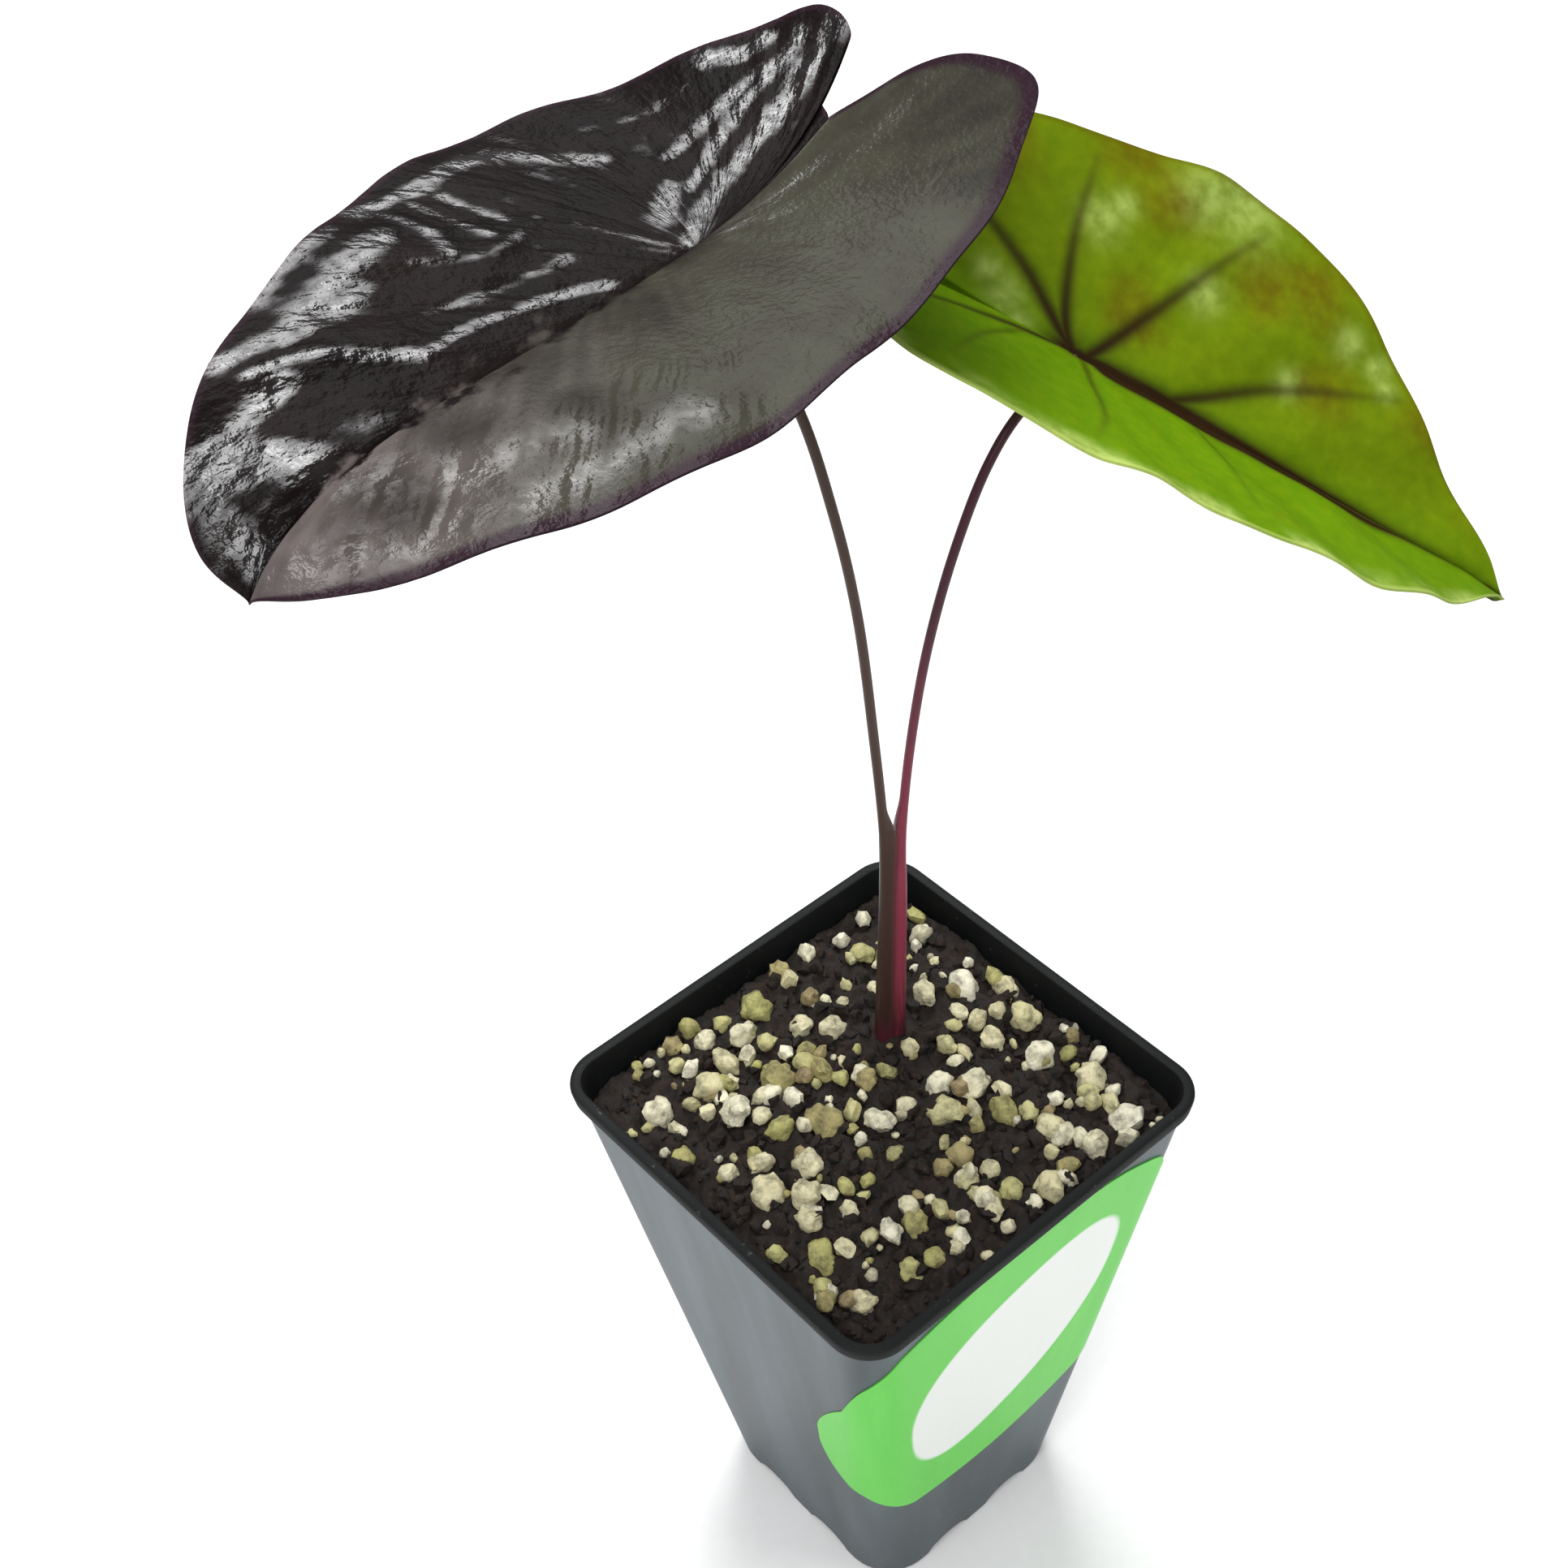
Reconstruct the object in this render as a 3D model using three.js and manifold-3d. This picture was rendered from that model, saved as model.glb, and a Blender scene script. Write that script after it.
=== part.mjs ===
// A young black elephant ear in a small square nursery pot.
// Millimetres, +Z up. The origin is the centre of the pot's base, and +Z runs up through the mix.
// The pot's walls face along X and Y, and its sticker is on the wall that faces -Y.

import * as THREE from "three";
import { mergeVertices } from "three/addons/utils/BufferGeometryUtils.js";
import Module from "manifold-3d";

const wasm = await Module();
wasm.setup();

// Driving dimensions

const CLEARANCE = 0.3;
const MERGE_WITHIN = 1e-4;

const POT = {
  height: 94,
  topWidth: 65,
  bottomWidth: 40,
  topCornerRadius: 5.5,
  bottomCornerRadius: 8,
  cornerSteps: 6,
  wall: 1,
  floor: 1.4,
  rimHeight: 2.2,
  rimStep: 0.9,
  footRound: 0.9,
};

const DRAIN = { width: 9, height: 3, depth: 10, spacing: 13, sides: 12 };

// Wall places: -1 to 1 runs across the flat of the wall, the next unit each way is the rounded corner,
// and the wall round the corner follows.
const LABEL = {
  leftEnd: -2.3,
  rightEnd: 2.2,
  low: 27.5,
  high: 90.6,
  squareness: 1.9,
  bluntEnd: 0.995,
  columns: 24,
  thickness: 0.35,
};

const MIX = {
  edgeHeight: 89.6,
  heap: 1.8,
  rings: 8,
  cornerSteps: 3,
  sideSteps: 5,
  // Low waves that cross each other and make the crumbly top: turns per millimetre, phase and height
  waves: [
    { x: 0.52, y: 0.19, phase: 1.3, height: 0.35 },
    { x: -0.24, y: 0.55, phase: 0.8, height: 0.35 },
    { x: 0.83, y: -0.61, phase: 2.1, height: 0.25 },
    { x: 0.97, y: 0.88, phase: 0.4, height: 0.2 },
  ],
};

const PERLITE = {
  count: 84,
  smallest: 1.5,
  largest: 3.1,
  sizeBias: 1.4,
  roughness: 0.2,
  rise: 0.2,
  spacing: 0.78,
  cornerRoom: 5,
  bareSpot: [-22, -22],
  bareRadius: 17,
  seed: 41,
};

const CORM = {
  top: 75.2,
  radius: 6.2,
  height: 16,
  sides: 10,
  layers: 8,
  rootCount: 5,
  rootRadius: 1.1,
  rootTaper: 0.45,
  rootStart: 0.62,
  rootTurn: 0.4,
  rootReach: 7,
  rootDrop: 30,
  rootPath: [[0.27, 0], [0.7, 0.12], [1, 0.45], [0.9, 1]],
  rootSteps: 5,
  rootSides: 5,
};

// The two leaf stalks stand side by side in one sheathed stem, flat against each other.
const STEM = {
  base: [9.5, 8],
  baseHeight: 90,
  lean: [0.044, -0.006],
  side: [0.87, -0.49],
  halfSpacing: 1.15,
  sheathHeights: [75.8, 90, 105, 120],
  pressedTo: 134.5,
  holeBottom: 74.5,
  holeRoom: 0.55,
  holeSides: 16,
  sides: 10,
  steps: 34,
};

const BLACK_LEAF = {
  junction: [-1.5, 24.1, 219.6],
  heading: -166.8,
  dip: -3,
  roll: 7.7,
  left: {
    margin: [
      [72, 0], [69.4, 8.2], [60.6, 17.9], [46.2, 25.6], [29.1, 30.8], [10.6, 31.9], [-7.7, 31.4],
      [-24.1, 29.6], [-36.1, 26], [-38.5, 16.7], [-35.7, 9.2], [-31.5, 3.9], [-27.1, 0],
    ],
    fold: 0.7,
    curl: 0.0051,
  },
  right: {
    margin: [
      [72, 0], [69.6, -8], [60.2, -17], [45.5, -24.5], [28.5, -31.3], [10.6, -35.9], [-7.6, -36],
      [-23.2, -29.6], [-35.6, -20.7], [-43.3, -12.2], [-40.1, -5.5], [-31.3, -5.4], [-27.1, 0],
    ],
    fold: 15.1,
    curl: 0.0019,
  },
  arch: -0.002,
  tipDroop: 1.51,
  backArch: -0.012,
  twist: -0.0032,
  thickness: 0.7,
  pucker: 1.5,
  ripple: 0.45,
  midribDepth: 1,
  ribHeight: 0.45,
};

const GREEN_LEAF = {
  junction: [42.4, 6.1, 192.9],
  heading: -47,
  dip: 31.8,
  roll: 15,
  left: {
    margin: [
      [67.6, 0], [62.7, 5.3], [51.6, 12.5], [39.6, 22.3], [25.6, 30.1], [9.6, 32.6], [-6.4, 29.6],
      [-20.5, 26.1], [-30.9, 19.2], [-35.6, 11.7], [-32.2, 5.5], [-24.5, 2.2], [-17.5, 0],
    ],
    fold: 25.7,
    curl: 0.0047,
  },
  right: {
    margin: [
      [67.6, 0], [63, -5.7], [53.6, -15], [40.6, -23.2], [24.9, -27], [9.1, -30], [-7.1, -31.7],
      [-22.4, -29.8], [-32.4, -21.2], [-36.2, -12.3], [-32.3, -5.6], [-24.4, -2.1], [-17.5, 0],
    ],
    fold: 26.3,
    curl: -0.0017,
  },
  arch: 0.0007,
  tipDroop: 0,
  backArch: 0.0033,
  twist: 0.0002,
  thickness: 0.7,
  pucker: 0.9,
  ripple: 0.4,
  midribDepth: 0.9,
  ribHeight: 0.4,
};

// Where the side veins meet the margin, as shares of its length from the tip to the notch.
const VEIN_PLACES = [0, 0.12, 0.23, 0.34, 0.46, 0.6, 0.74, 0.87, 1];

const BLADE = {
  stationsPerVein: 4,
  steps: 8,
  stalkVeins: 0.42,
  veinReach: 1.9,
  veinBow: 0.12,
  foldSoftness: 2,
  droopLength: 80,
  droopPower: 5,
  bendSteps: 24,
  normalReach: 0.5,
  swellStart: 0.04,
  swellEnd: 0.9,
  rippleCount: 7,
  midribTaper: 0.85,
};

const BLACK_STALK = {
  towards: -1,
  path: [
    [9.5, 8, 132], [9, 8.8, 149], [8.1, 10.1, 169.5], [6.7, 12, 184.5], [4.5, 15.2, 200], [1.4, 19.8, 211],
  ],
  sheathRadius: 1.25,
  sheathDepth: 2.1,
  radius: 0.68,
};

const GREEN_STALK = {
  towards: 1,
  path: [
    [12.6, 7.7, 131], [14.6, 7.7, 146], [17.7, 7.5, 160.5], [22.3, 7.3, 173.5], [27.8, 7, 184],
    [33, 6.9, 188.9],
  ],
  sheathRadius: 1.25,
  sheathDepth: 2,
  radius: 0.65,
};

const STALK_SHAPE = { flare: 1.5, flareStart: 0.95, sheathEnd: 0.38, sheathEase: 0.7 };

// Small helpers

const radians = THREE.MathUtils.degToRad;
const mix = THREE.MathUtils.lerp;
const vector = ([x, y, z]) => new THREE.Vector3(x, y, z);

function closedGeometry(points, triangles) {
  const geometry = new THREE.BufferGeometry();
  const coordinates = points.flatMap((point) => [point.x, point.y, point.z]);
  geometry.setAttribute("position", new THREE.Float32BufferAttribute(coordinates, 3));
  geometry.setIndex(triangles.flat());
  return geometry;
}

// Skins a row of rings that all have the same number of points, and closes both ends with a fan.
function loft(rings) {
  const count = rings[0].length;
  const points = rings.flat();
  const triangles = [];
  for (let level = 0; level + 1 < rings.length; level += 1) {
    for (let i = 0; i < count; i += 1) {
      const a = level * count + i;
      const b = level * count + (i + 1) % count;
      triangles.push([a, b, b + count], [a, b + count, a + count]);
    }
  }
  const lastStart = (rings.length - 1) * count;
  const firstCentre = points.push(centreOf(rings[0])) - 1;
  const lastCentre = points.push(centreOf(rings.at(-1))) - 1;
  for (let i = 0; i < count; i += 1) {
    const next = (i + 1) % count;
    triangles.push([firstCentre, next, i], [lastCentre, lastStart + i, lastStart + next]);
  }
  return closedGeometry(points, triangles);
}

function centreOf(ring) {
  const sum = ring.reduce((total, point) => total.add(point), new THREE.Vector3());
  return sum.divideScalar(ring.length);
}

function toManifold(geometry) {
  const bare = geometry.clone();
  bare.deleteAttribute("normal");
  bare.deleteAttribute("uv");
  const merged = mergeVertices(bare, MERGE_WITHIN);
  return new wasm.Manifold(new wasm.Mesh({
    numProp: 3,
    vertProperties: new Float32Array(merged.attributes.position.array),
    triVerts: new Uint32Array(merged.index.array),
  }));
}

function fromManifold(solid) {
  const mesh = solid.getMesh();
  const geometry = new THREE.BufferGeometry();
  geometry.setAttribute("position", new THREE.BufferAttribute(new Float32Array(mesh.vertProperties), 3));
  geometry.setIndex(new THREE.BufferAttribute(new Uint32Array(mesh.triVerts), 1));
  return geometry;
}

// A repeatable draw of numbers from 0 to 1, by the usual linear congruence
function seededDraw(seed) {
  const [multiplier, increment, modulus] = [1664525, 1013904223, 2 ** 32];
  let state = seed;
  return () => {
    state = (state * multiplier + increment) % modulus;
    return state / modulus;
  };
}

// A closed tube with an oval section along a curve. ovalAt(share) gives its two half widths, and
// shape(point, centre) may move a point of the skin.
function stalkSolid(curve, { steps, sides, firstSide, ovalAt, shape = (point) => point }) {
  const rings = [];
  let side = firstSide.clone();
  for (let step = 0; step <= steps; step += 1) {
    const share = step / steps;
    const centre = curve.getPointAt(share);
    const tangent = curve.getTangentAt(share);
    side = side.addScaledVector(tangent, -side.dot(tangent)).normalize();
    const depth = tangent.clone().cross(side);
    const [sideRadius, depthRadius] = ovalAt(share);
    const ring = [];
    for (let i = 0; i < sides; i += 1) {
      const angle = 2 * Math.PI * i / sides;
      const point = centre.clone()
        .addScaledVector(side, sideRadius * Math.cos(angle))
        .addScaledVector(depth, depthRadius * Math.sin(angle));
      ring.push(shape(point, centre));
    }
    rings.push(ring);
  }
  return loft(rings);
}

// Pot

const potShare = (z) => z / POT.height;
const wallDistance = (z) => mix(POT.bottomWidth, POT.topWidth, potShare(z)) / 2;
const cornerRadius = (z) => mix(POT.bottomCornerRadius, POT.topCornerRadius, potShare(z));

// A rounded square, seen from above and run round against the clock
function roundedSquare(halfWidth, radius, heightAt, cornerSteps = POT.cornerSteps, sideSteps = 1) {
  const ring = [];
  const straight = halfWidth - radius;
  for (let corner = 0; corner < 4; corner += 1) {
    const turn = corner * Math.PI / 2;
    const place = (x, y) => {
      const px = x * Math.cos(turn) - y * Math.sin(turn);
      const py = x * Math.sin(turn) + y * Math.cos(turn);
      ring.push(new THREE.Vector3(px, py, heightAt(px, py)));
    };
    for (let step = 0; step <= cornerSteps; step += 1) {
      const angle = step / cornerSteps * Math.PI / 2;
      place(straight + radius * Math.cos(angle), straight + radius * Math.sin(angle));
    }
    for (let step = 1; step < sideSteps; step += 1) {
      place(mix(straight, -straight, step / sideSteps), halfWidth);
    }
  }
  return ring;
}

function wallRing(z, offset, cornerSteps, sideSteps) {
  return roundedSquare(wallDistance(z) + offset, cornerRadius(z) + offset, () => z, cornerSteps, sideSteps);
}

function makePot() {
  const rimBottom = POT.height - POT.rimHeight;
  let pot = toManifold(loft([
    wallRing(0, -POT.footRound),
    wallRing(POT.footRound, 0),
    wallRing(rimBottom - POT.rimStep, 0),
    wallRing(rimBottom, POT.rimStep),
    wallRing(POT.height, POT.rimStep),
    wallRing(POT.height, -POT.wall),
    wallRing(POT.floor, -POT.wall),
  ]));
  for (const side of [0, 1, 2, 3]) {
    for (const place of [-0.5, 0.5]) {
      pot = pot.subtract(drainCutter(side, place * DRAIN.spacing));
    }
  }
  return fromManifold(pot);
}

// An arched cutter that opens the foot of a wall and the floor's edge behind it
function drainCutter(side, across) {
  const arch = new THREE.CylinderGeometry(DRAIN.width / 2, DRAIN.width / 2, DRAIN.depth, DRAIN.sides);
  arch.scale(1, 1, DRAIN.height / (DRAIN.width / 2));
  arch.translate(across, POT.bottomWidth / 2, 0);
  arch.rotateZ(side * Math.PI / 2);
  return toManifold(arch);
}

// Sticker: columns that run up the wall, cut to a rounded outline

// A point of the -Y wall, its corners and the walls round them, by its place across the wall
function wallPoint(place, z, offset) {
  const radius = cornerRadius(z);
  const straight = wallDistance(z) - radius;
  const [flat, corner, beyond] = [0, 1, 2].map((start) => (
    THREE.MathUtils.clamp(Math.abs(place) - start, 0, 1)
  ));
  const turn = corner * Math.PI / 2;
  const across = flat * straight + (radius + offset) * Math.sin(turn);
  const out = (1 - beyond) * straight + (radius + offset) * Math.cos(turn);
  return new THREE.Vector3(Math.sign(place) * across, -out, z);
}

// The columns fall on the wall's own edges in the corners, so the sticker lies flat on every facet.
function labelPlaces() {
  const places = [];
  for (let column = 0; column <= LABEL.columns; column += 1) {
    const angle = column / LABEL.columns * Math.PI;
    const place = mix(LABEL.leftEnd, LABEL.rightEnd, (1 - Math.cos(angle)) / 2);
    if (Math.abs(place) < 1 || Math.abs(place) > 2) places.push(place);
  }
  for (let step = 0; step <= POT.cornerSteps; step += 1) {
    const corner = 1 + step / POT.cornerSteps;
    places.push(corner, -corner);
  }
  return places.sort((a, b) => a - b);
}

function makeLabel() {
  const middle = (LABEL.low + LABEL.high) / 2;
  const halfHeight = (LABEL.high - LABEL.low) / 2;
  const centre = (LABEL.leftEnd + LABEL.rightEnd) / 2;
  const halfWidth = (LABEL.rightEnd - LABEL.leftEnd) / 2;
  const columns = labelPlaces().map((place) => {
    const share = Math.min(LABEL.bluntEnd, Math.abs(place - centre) / halfWidth);
    const reach = halfHeight * (1 - share ** LABEL.squareness) ** (1 / LABEL.squareness);
    const [low, high] = [middle - reach, middle + reach];
    const outer = CLEARANCE + LABEL.thickness;
    return [
      wallPoint(place, low, CLEARANCE),
      wallPoint(place, high, CLEARANCE),
      wallPoint(place, high, outer),
      wallPoint(place, low, outer),
    ];
  });
  return loft(columns);
}

// Potting mix with its perlite

const mixWall = POT.wall + CLEARANCE;

function mixHeight(x, y) {
  const reach = wallDistance(MIX.edgeHeight);
  const heap = MIX.heap * (1 - (x / reach) ** 2) * (1 - (y / reach) ** 2);
  const crumb = MIX.waves.reduce((sum, wave) => (
    sum + wave.height * Math.sin(wave.x * x + wave.y * y + wave.phase)
  ), 0);
  return MIX.edgeHeight + heap + crumb;
}

function mixBody() {
  const bottom = POT.floor + CLEARANCE;
  const halfWidth = wallDistance(MIX.edgeHeight) - mixWall;
  const radius = cornerRadius(MIX.edgeHeight) - mixWall;
  const steps = [MIX.cornerSteps, MIX.sideSteps];
  const rings = [
    wallRing(bottom, -mixWall, ...steps),
    wallRing(MIX.edgeHeight - MIX.heap, -mixWall, ...steps),
  ];
  for (let ring = 0; ring < MIX.rings; ring += 1) {
    const share = 1 - ring / MIX.rings;
    rings.push(roundedSquare(halfWidth * share, radius * share, mixHeight, ...steps));
  }
  return toManifold(loft(rings));
}

// Lumps are drawn at random, kept apart, thinned near the front corner and kept off the stem.
function perliteLumps() {
  const draw = seededDraw(PERLITE.seed);
  const lumps = [];
  const reach = wallDistance(MIX.edgeHeight) - mixWall;
  const stemReach = STEM.halfSpacing + BLACK_STALK.sheathDepth;
  while (lumps.length < PERLITE.count) {
    const radius = mix(PERLITE.smallest, PERLITE.largest, draw() ** PERLITE.sizeBias);
    const room = reach - radius * (1 + PERLITE.roughness);
    const [x, y] = [mix(-room, room, draw()), mix(-room, room, draw())];
    const awayFrom = ([otherX, otherY]) => Math.hypot(x - otherX, y - otherY);
    const thinned = awayFrom(PERLITE.bareSpot) < PERLITE.bareRadius * draw();
    const clear = lumps.every((other) => (
      awayFrom([other.x, other.y]) > PERLITE.spacing * (radius + other.radius)
    ));
    const pastCorner = [x, y].map((value) => Math.max(0, Math.abs(value) - room + PERLITE.cornerRoom));
    const inPot = Math.hypot(...pastCorner) < PERLITE.cornerRoom;
    if (clear && inPot && !thinned && awayFrom(STEM.base) > stemReach + radius) {
      lumps.push({ x, y, radius, turn: draw() * Math.PI, tilt: draw() * Math.PI });
    }
  }
  return lumps;
}

function perliteSolid(lump, draw) {
  const stone = mergeVertices(bareIcosahedron(), MERGE_WITHIN);
  const position = stone.attributes.position;
  for (let i = 0; i < position.count; i += 1) {
    const scale = lump.radius * (1 + PERLITE.roughness * (2 * draw() - 1));
    position.setXYZ(i, position.getX(i) * scale, position.getY(i) * scale, position.getZ(i) * scale);
  }
  stone.rotateX(lump.tilt);
  stone.rotateZ(lump.turn);
  stone.translate(lump.x, lump.y, mixHeight(lump.x, lump.y) + lump.radius * PERLITE.rise);
  return toManifold(stone);
}

function bareIcosahedron() {
  const geometry = new THREE.IcosahedronGeometry(1, 0);
  geometry.deleteAttribute("normal");
  geometry.deleteAttribute("uv");
  return geometry;
}

function makeMix() {
  const draw = seededDraw(PERLITE.seed + 1);
  let body = mixBody();
  for (const lump of perliteLumps()) {
    body = body.add(perliteSolid(lump, draw));
  }
  return fromManifold(body.subtract(toManifold(stemHole())).subtract(cormSolid(CLEARANCE)));
}

// The plain hole that the sheathed stem stands in, which leans as the stem does
function stemHole() {
  const sideReach = STEM.halfSpacing + BLACK_STALK.sheathRadius + STEM.holeRoom;
  const depthReach = BLACK_STALK.sheathDepth + STEM.holeRoom;
  return stalkSolid(new THREE.LineCurve3(stemAxis(STEM.holeBottom), stemAxis(POT.height)), {
    steps: 1,
    sides: STEM.holeSides,
    firstSide: stemSide(),
    ovalAt: () => [sideReach, depthReach],
  });
}

// Corm with its root stubs, which the mix's pocket repeats a clearance larger

function cormSolid(grown) {
  const middle = CORM.top - CORM.height / 2;
  const profile = [];
  for (let layer = 0; layer <= CORM.layers; layer += 1) {
    const angle = Math.PI * (layer / CORM.layers - 0.5);
    const atEnd = layer === 0 || layer === CORM.layers;
    profile.push(new THREE.Vector2(
      atEnd ? 0 : (CORM.radius + grown) * Math.cos(angle),
      middle + (CORM.height / 2 + grown) * Math.sin(angle),
    ));
  }
  const bulb = new THREE.LatheGeometry(profile, CORM.sides);
  bulb.rotateX(Math.PI / 2);
  bulb.translate(STEM.base[0], STEM.base[1], 0);
  let solid = toManifold(bulb);
  for (let root = 0; root < CORM.rootCount; root += 1) {
    solid = solid.add(toManifold(rootGeometry(root, grown)));
  }
  return solid;
}

function rootGeometry(index, grown) {
  const angle = 2 * Math.PI * index / CORM.rootCount + CORM.rootTurn;
  const start = CORM.top - CORM.height * CORM.rootStart;
  const [outX, outY] = [Math.cos(angle), Math.sin(angle)];
  const curve = new THREE.CatmullRomCurve3(CORM.rootPath.map(([reach, drop]) => new THREE.Vector3(
    STEM.base[0] + reach * CORM.rootReach * outX,
    STEM.base[1] + reach * CORM.rootReach * outY,
    start - drop * (CORM.rootDrop + grown),
  )));
  const radiusAt = (share) => grown + CORM.rootRadius * mix(1, CORM.rootTaper, share);
  return stalkSolid(curve, {
    steps: CORM.rootSteps,
    sides: CORM.rootSides,
    firstSide: new THREE.Vector3(-outY, outX, 0),
    ovalAt: (share) => [radiusAt(share), radiusAt(share)],
  });
}

// Blades

// The leaf's own axes at the stalk: along the midrib, across it, and out of the upper face
function leafAxes(leaf) {
  const heading = radians(leaf.heading);
  const dip = radians(leaf.dip);
  const roll = radians(leaf.roll);
  const along = new THREE.Vector3(
    Math.cos(heading) * Math.cos(dip),
    Math.sin(heading) * Math.cos(dip),
    -Math.sin(dip),
  );
  const level = new THREE.Vector3(-Math.sin(heading), Math.cos(heading), 0);
  const up = along.clone().cross(level);
  const across = level.clone().multiplyScalar(Math.cos(roll)).addScaledVector(up, Math.sin(roll));
  const normal = level.clone().multiplyScalar(-Math.sin(roll)).addScaledVector(up, Math.cos(roll));
  return { along, across, normal };
}

function pitchAt(leaf, x) {
  if (x < 0) return leaf.backArch * x;
  return leaf.arch * x + leaf.tipDroop * (x / BLADE.droopLength) ** BLADE.droopPower;
}

// The midrib's own curve, followed from the stalk to a place x along it
function midribPoint(leaf, x) {
  let along = 0;
  let height = 0;
  const step = x / BLADE.bendSteps;
  for (let i = 0; i < BLADE.bendSteps; i += 1) {
    const pitch = pitchAt(leaf, (i + 0.5) * step);
    along += Math.cos(pitch) * step;
    height -= Math.sin(pitch) * step;
  }
  return { along, height };
}

// Bends a point of the flat leaf: folded along the midrib, curled across, arched and twisted
function bentPoint(leaf, x, y) {
  const half = y >= 0 ? leaf.left : leaf.right;
  const fold = radians(half.fold);
  const out = Math.hypot(y, BLADE.foldSoftness) - BLADE.foldSoftness;
  const across = (Math.sin(fold) - Math.sin(fold - half.curl * out)) / half.curl * (y >= 0 ? 1 : -1);
  const rise = (Math.cos(fold - half.curl * out) - Math.cos(fold)) / half.curl;
  const twist = leaf.twist * x;
  const turnedAcross = across * Math.cos(twist) - rise * Math.sin(twist);
  const turnedRise = across * Math.sin(twist) + rise * Math.cos(twist);
  const pitch = pitchAt(leaf, x);
  const midrib = midribPoint(leaf, x);
  return [
    midrib.along + turnedRise * Math.sin(pitch),
    turnedAcross,
    midrib.height + turnedRise * Math.cos(pitch),
  ];
}

function bladePoint(leaf, x, y) {
  const axes = leafAxes(leaf);
  const [along, across, rise] = bentPoint(leaf, x, y);
  return vector(leaf.junction)
    .addScaledVector(axes.along, along)
    .addScaledVector(axes.across, across)
    .addScaledVector(axes.normal, rise);
}

function bladeNormal(leaf, x, y) {
  const reach = BLADE.normalReach;
  const along = bladePoint(leaf, x + reach, y).sub(bladePoint(leaf, x - reach, y));
  const across = bladePoint(leaf, x, y + reach).sub(bladePoint(leaf, x, y - reach));
  return along.cross(across).normalize();
}

// A half blade's lines run from the midrib to the margin, as its side veins do, and bow outwards.
function veinLine(half, tip, share) {
  const end = half.curve.getPointAt(share);
  const reach = Math.max(0, 1 - share / BLADE.stalkVeins);
  const start = new THREE.Vector3(tip * reach ** BLADE.veinReach, 0, 0);
  const chord = end.clone().sub(start);
  const bow = BLADE.veinBow * Math.sin(Math.PI * share) * half.sign;
  const control = start.clone().add(end).multiplyScalar(0.5);
  control.x -= bow * chord.y;
  control.y += bow * chord.x;
  return new THREE.QuadraticBezierCurve3(start, control, end);
}

// The lines of a half blade: every side vein, and the even steps between two veins
function bladeStations() {
  const stations = [];
  for (let vein = 0; vein + 1 < VEIN_PLACES.length; vein += 1) {
    for (let step = 0; step < BLADE.stationsPerVein; step += 1) {
      const phase = step / BLADE.stationsPerVein;
      stations.push({ share: mix(VEIN_PLACES[vein], VEIN_PLACES[vein + 1], phase), phase });
    }
  }
  stations.push({ share: 1, phase: 0 });
  return stations;
}

// Height of the blade over its smooth form: swollen between the veins and rippled at the margin
function puckerAt(leaf, { share, phase }, out) {
  const spread = mix(BLADE.swellStart, BLADE.swellEnd, out);
  const swell = Math.sin(Math.PI * phase) ** 2 * Math.sin(Math.PI * spread);
  const ripple = out ** 3 * Math.sin(2 * Math.PI * BLADE.rippleCount * share);
  return leaf.pucker * swell + leaf.ripple * ripple;
}

// How far the midrib and the side veins stand out of the lower face
function ribAt(leaf, { phase }, out, x, tip) {
  const vein = phase === 0 ? leaf.ribHeight * (1 - out) : 0;
  const taper = x > 0 ? 1 - BLADE.midribTaper * x / tip : 1 + x / tip;
  return vein + (out === 0 ? leaf.midribDepth * taper : 0);
}

// Both faces of a blade share one flat grid, so that they are split into triangles alike. Each place
// of the grid has its point on the upper face and, next to it, its point on the lower face.
function bladeSkin(leaf) {
  const places = new Map();
  const points = [];
  const triangles = [];
  return {
    points,
    triangles,
    addPlace(x, y, rise, rib) {
      const key = [x, y].map((value) => Math.round(value / MERGE_WITHIN)).join();
      if (!places.has(key)) {
        const middle = bladePoint(leaf, x, y);
        const normal = bladeNormal(leaf, x, y);
        const half = leaf.thickness / 2;
        places.set(key, points.length);
        points.push(middle.clone().addScaledVector(normal, rise + half));
        points.push(middle.clone().addScaledVector(normal, rise - half - rib));
      }
      return places.get(key);
    },
    addTriangle(corners, flip) {
      if (new Set(corners).size < 3) return;
      triangles.push(flip ? corners.toReversed() : corners);
    },
  };
}

function makeBlade(leaf) {
  const tip = leaf.left.margin[0][0];
  const skin = bladeSkin(leaf);
  for (const [half, sign] of [[leaf.left, 1], [leaf.right, -1]]) {
    const margin = half.margin.map(([x, y]) => new THREE.Vector3(x, y, 0));
    const curve = new THREE.CatmullRomCurve3(margin, false, "centripetal");
    const grid = bladeStations().map((station) => {
      const line = veinLine({ curve, sign }, tip, station.share);
      return Array.from({ length: BLADE.steps + 1 }, (_, step) => {
        const out = step / BLADE.steps;
        const { x, y } = line.getPoint(out);
        return skin.addPlace(x, y, puckerAt(leaf, station, out), ribAt(leaf, station, out, x, tip));
      });
    });
    for (let i = 0; i + 1 < grid.length; i += 1) {
      closeStrip(skin, grid[i], grid[i + 1], sign < 0);
    }
  }
  return closedGeometry(skin.points, skin.triangles);
}

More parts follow.
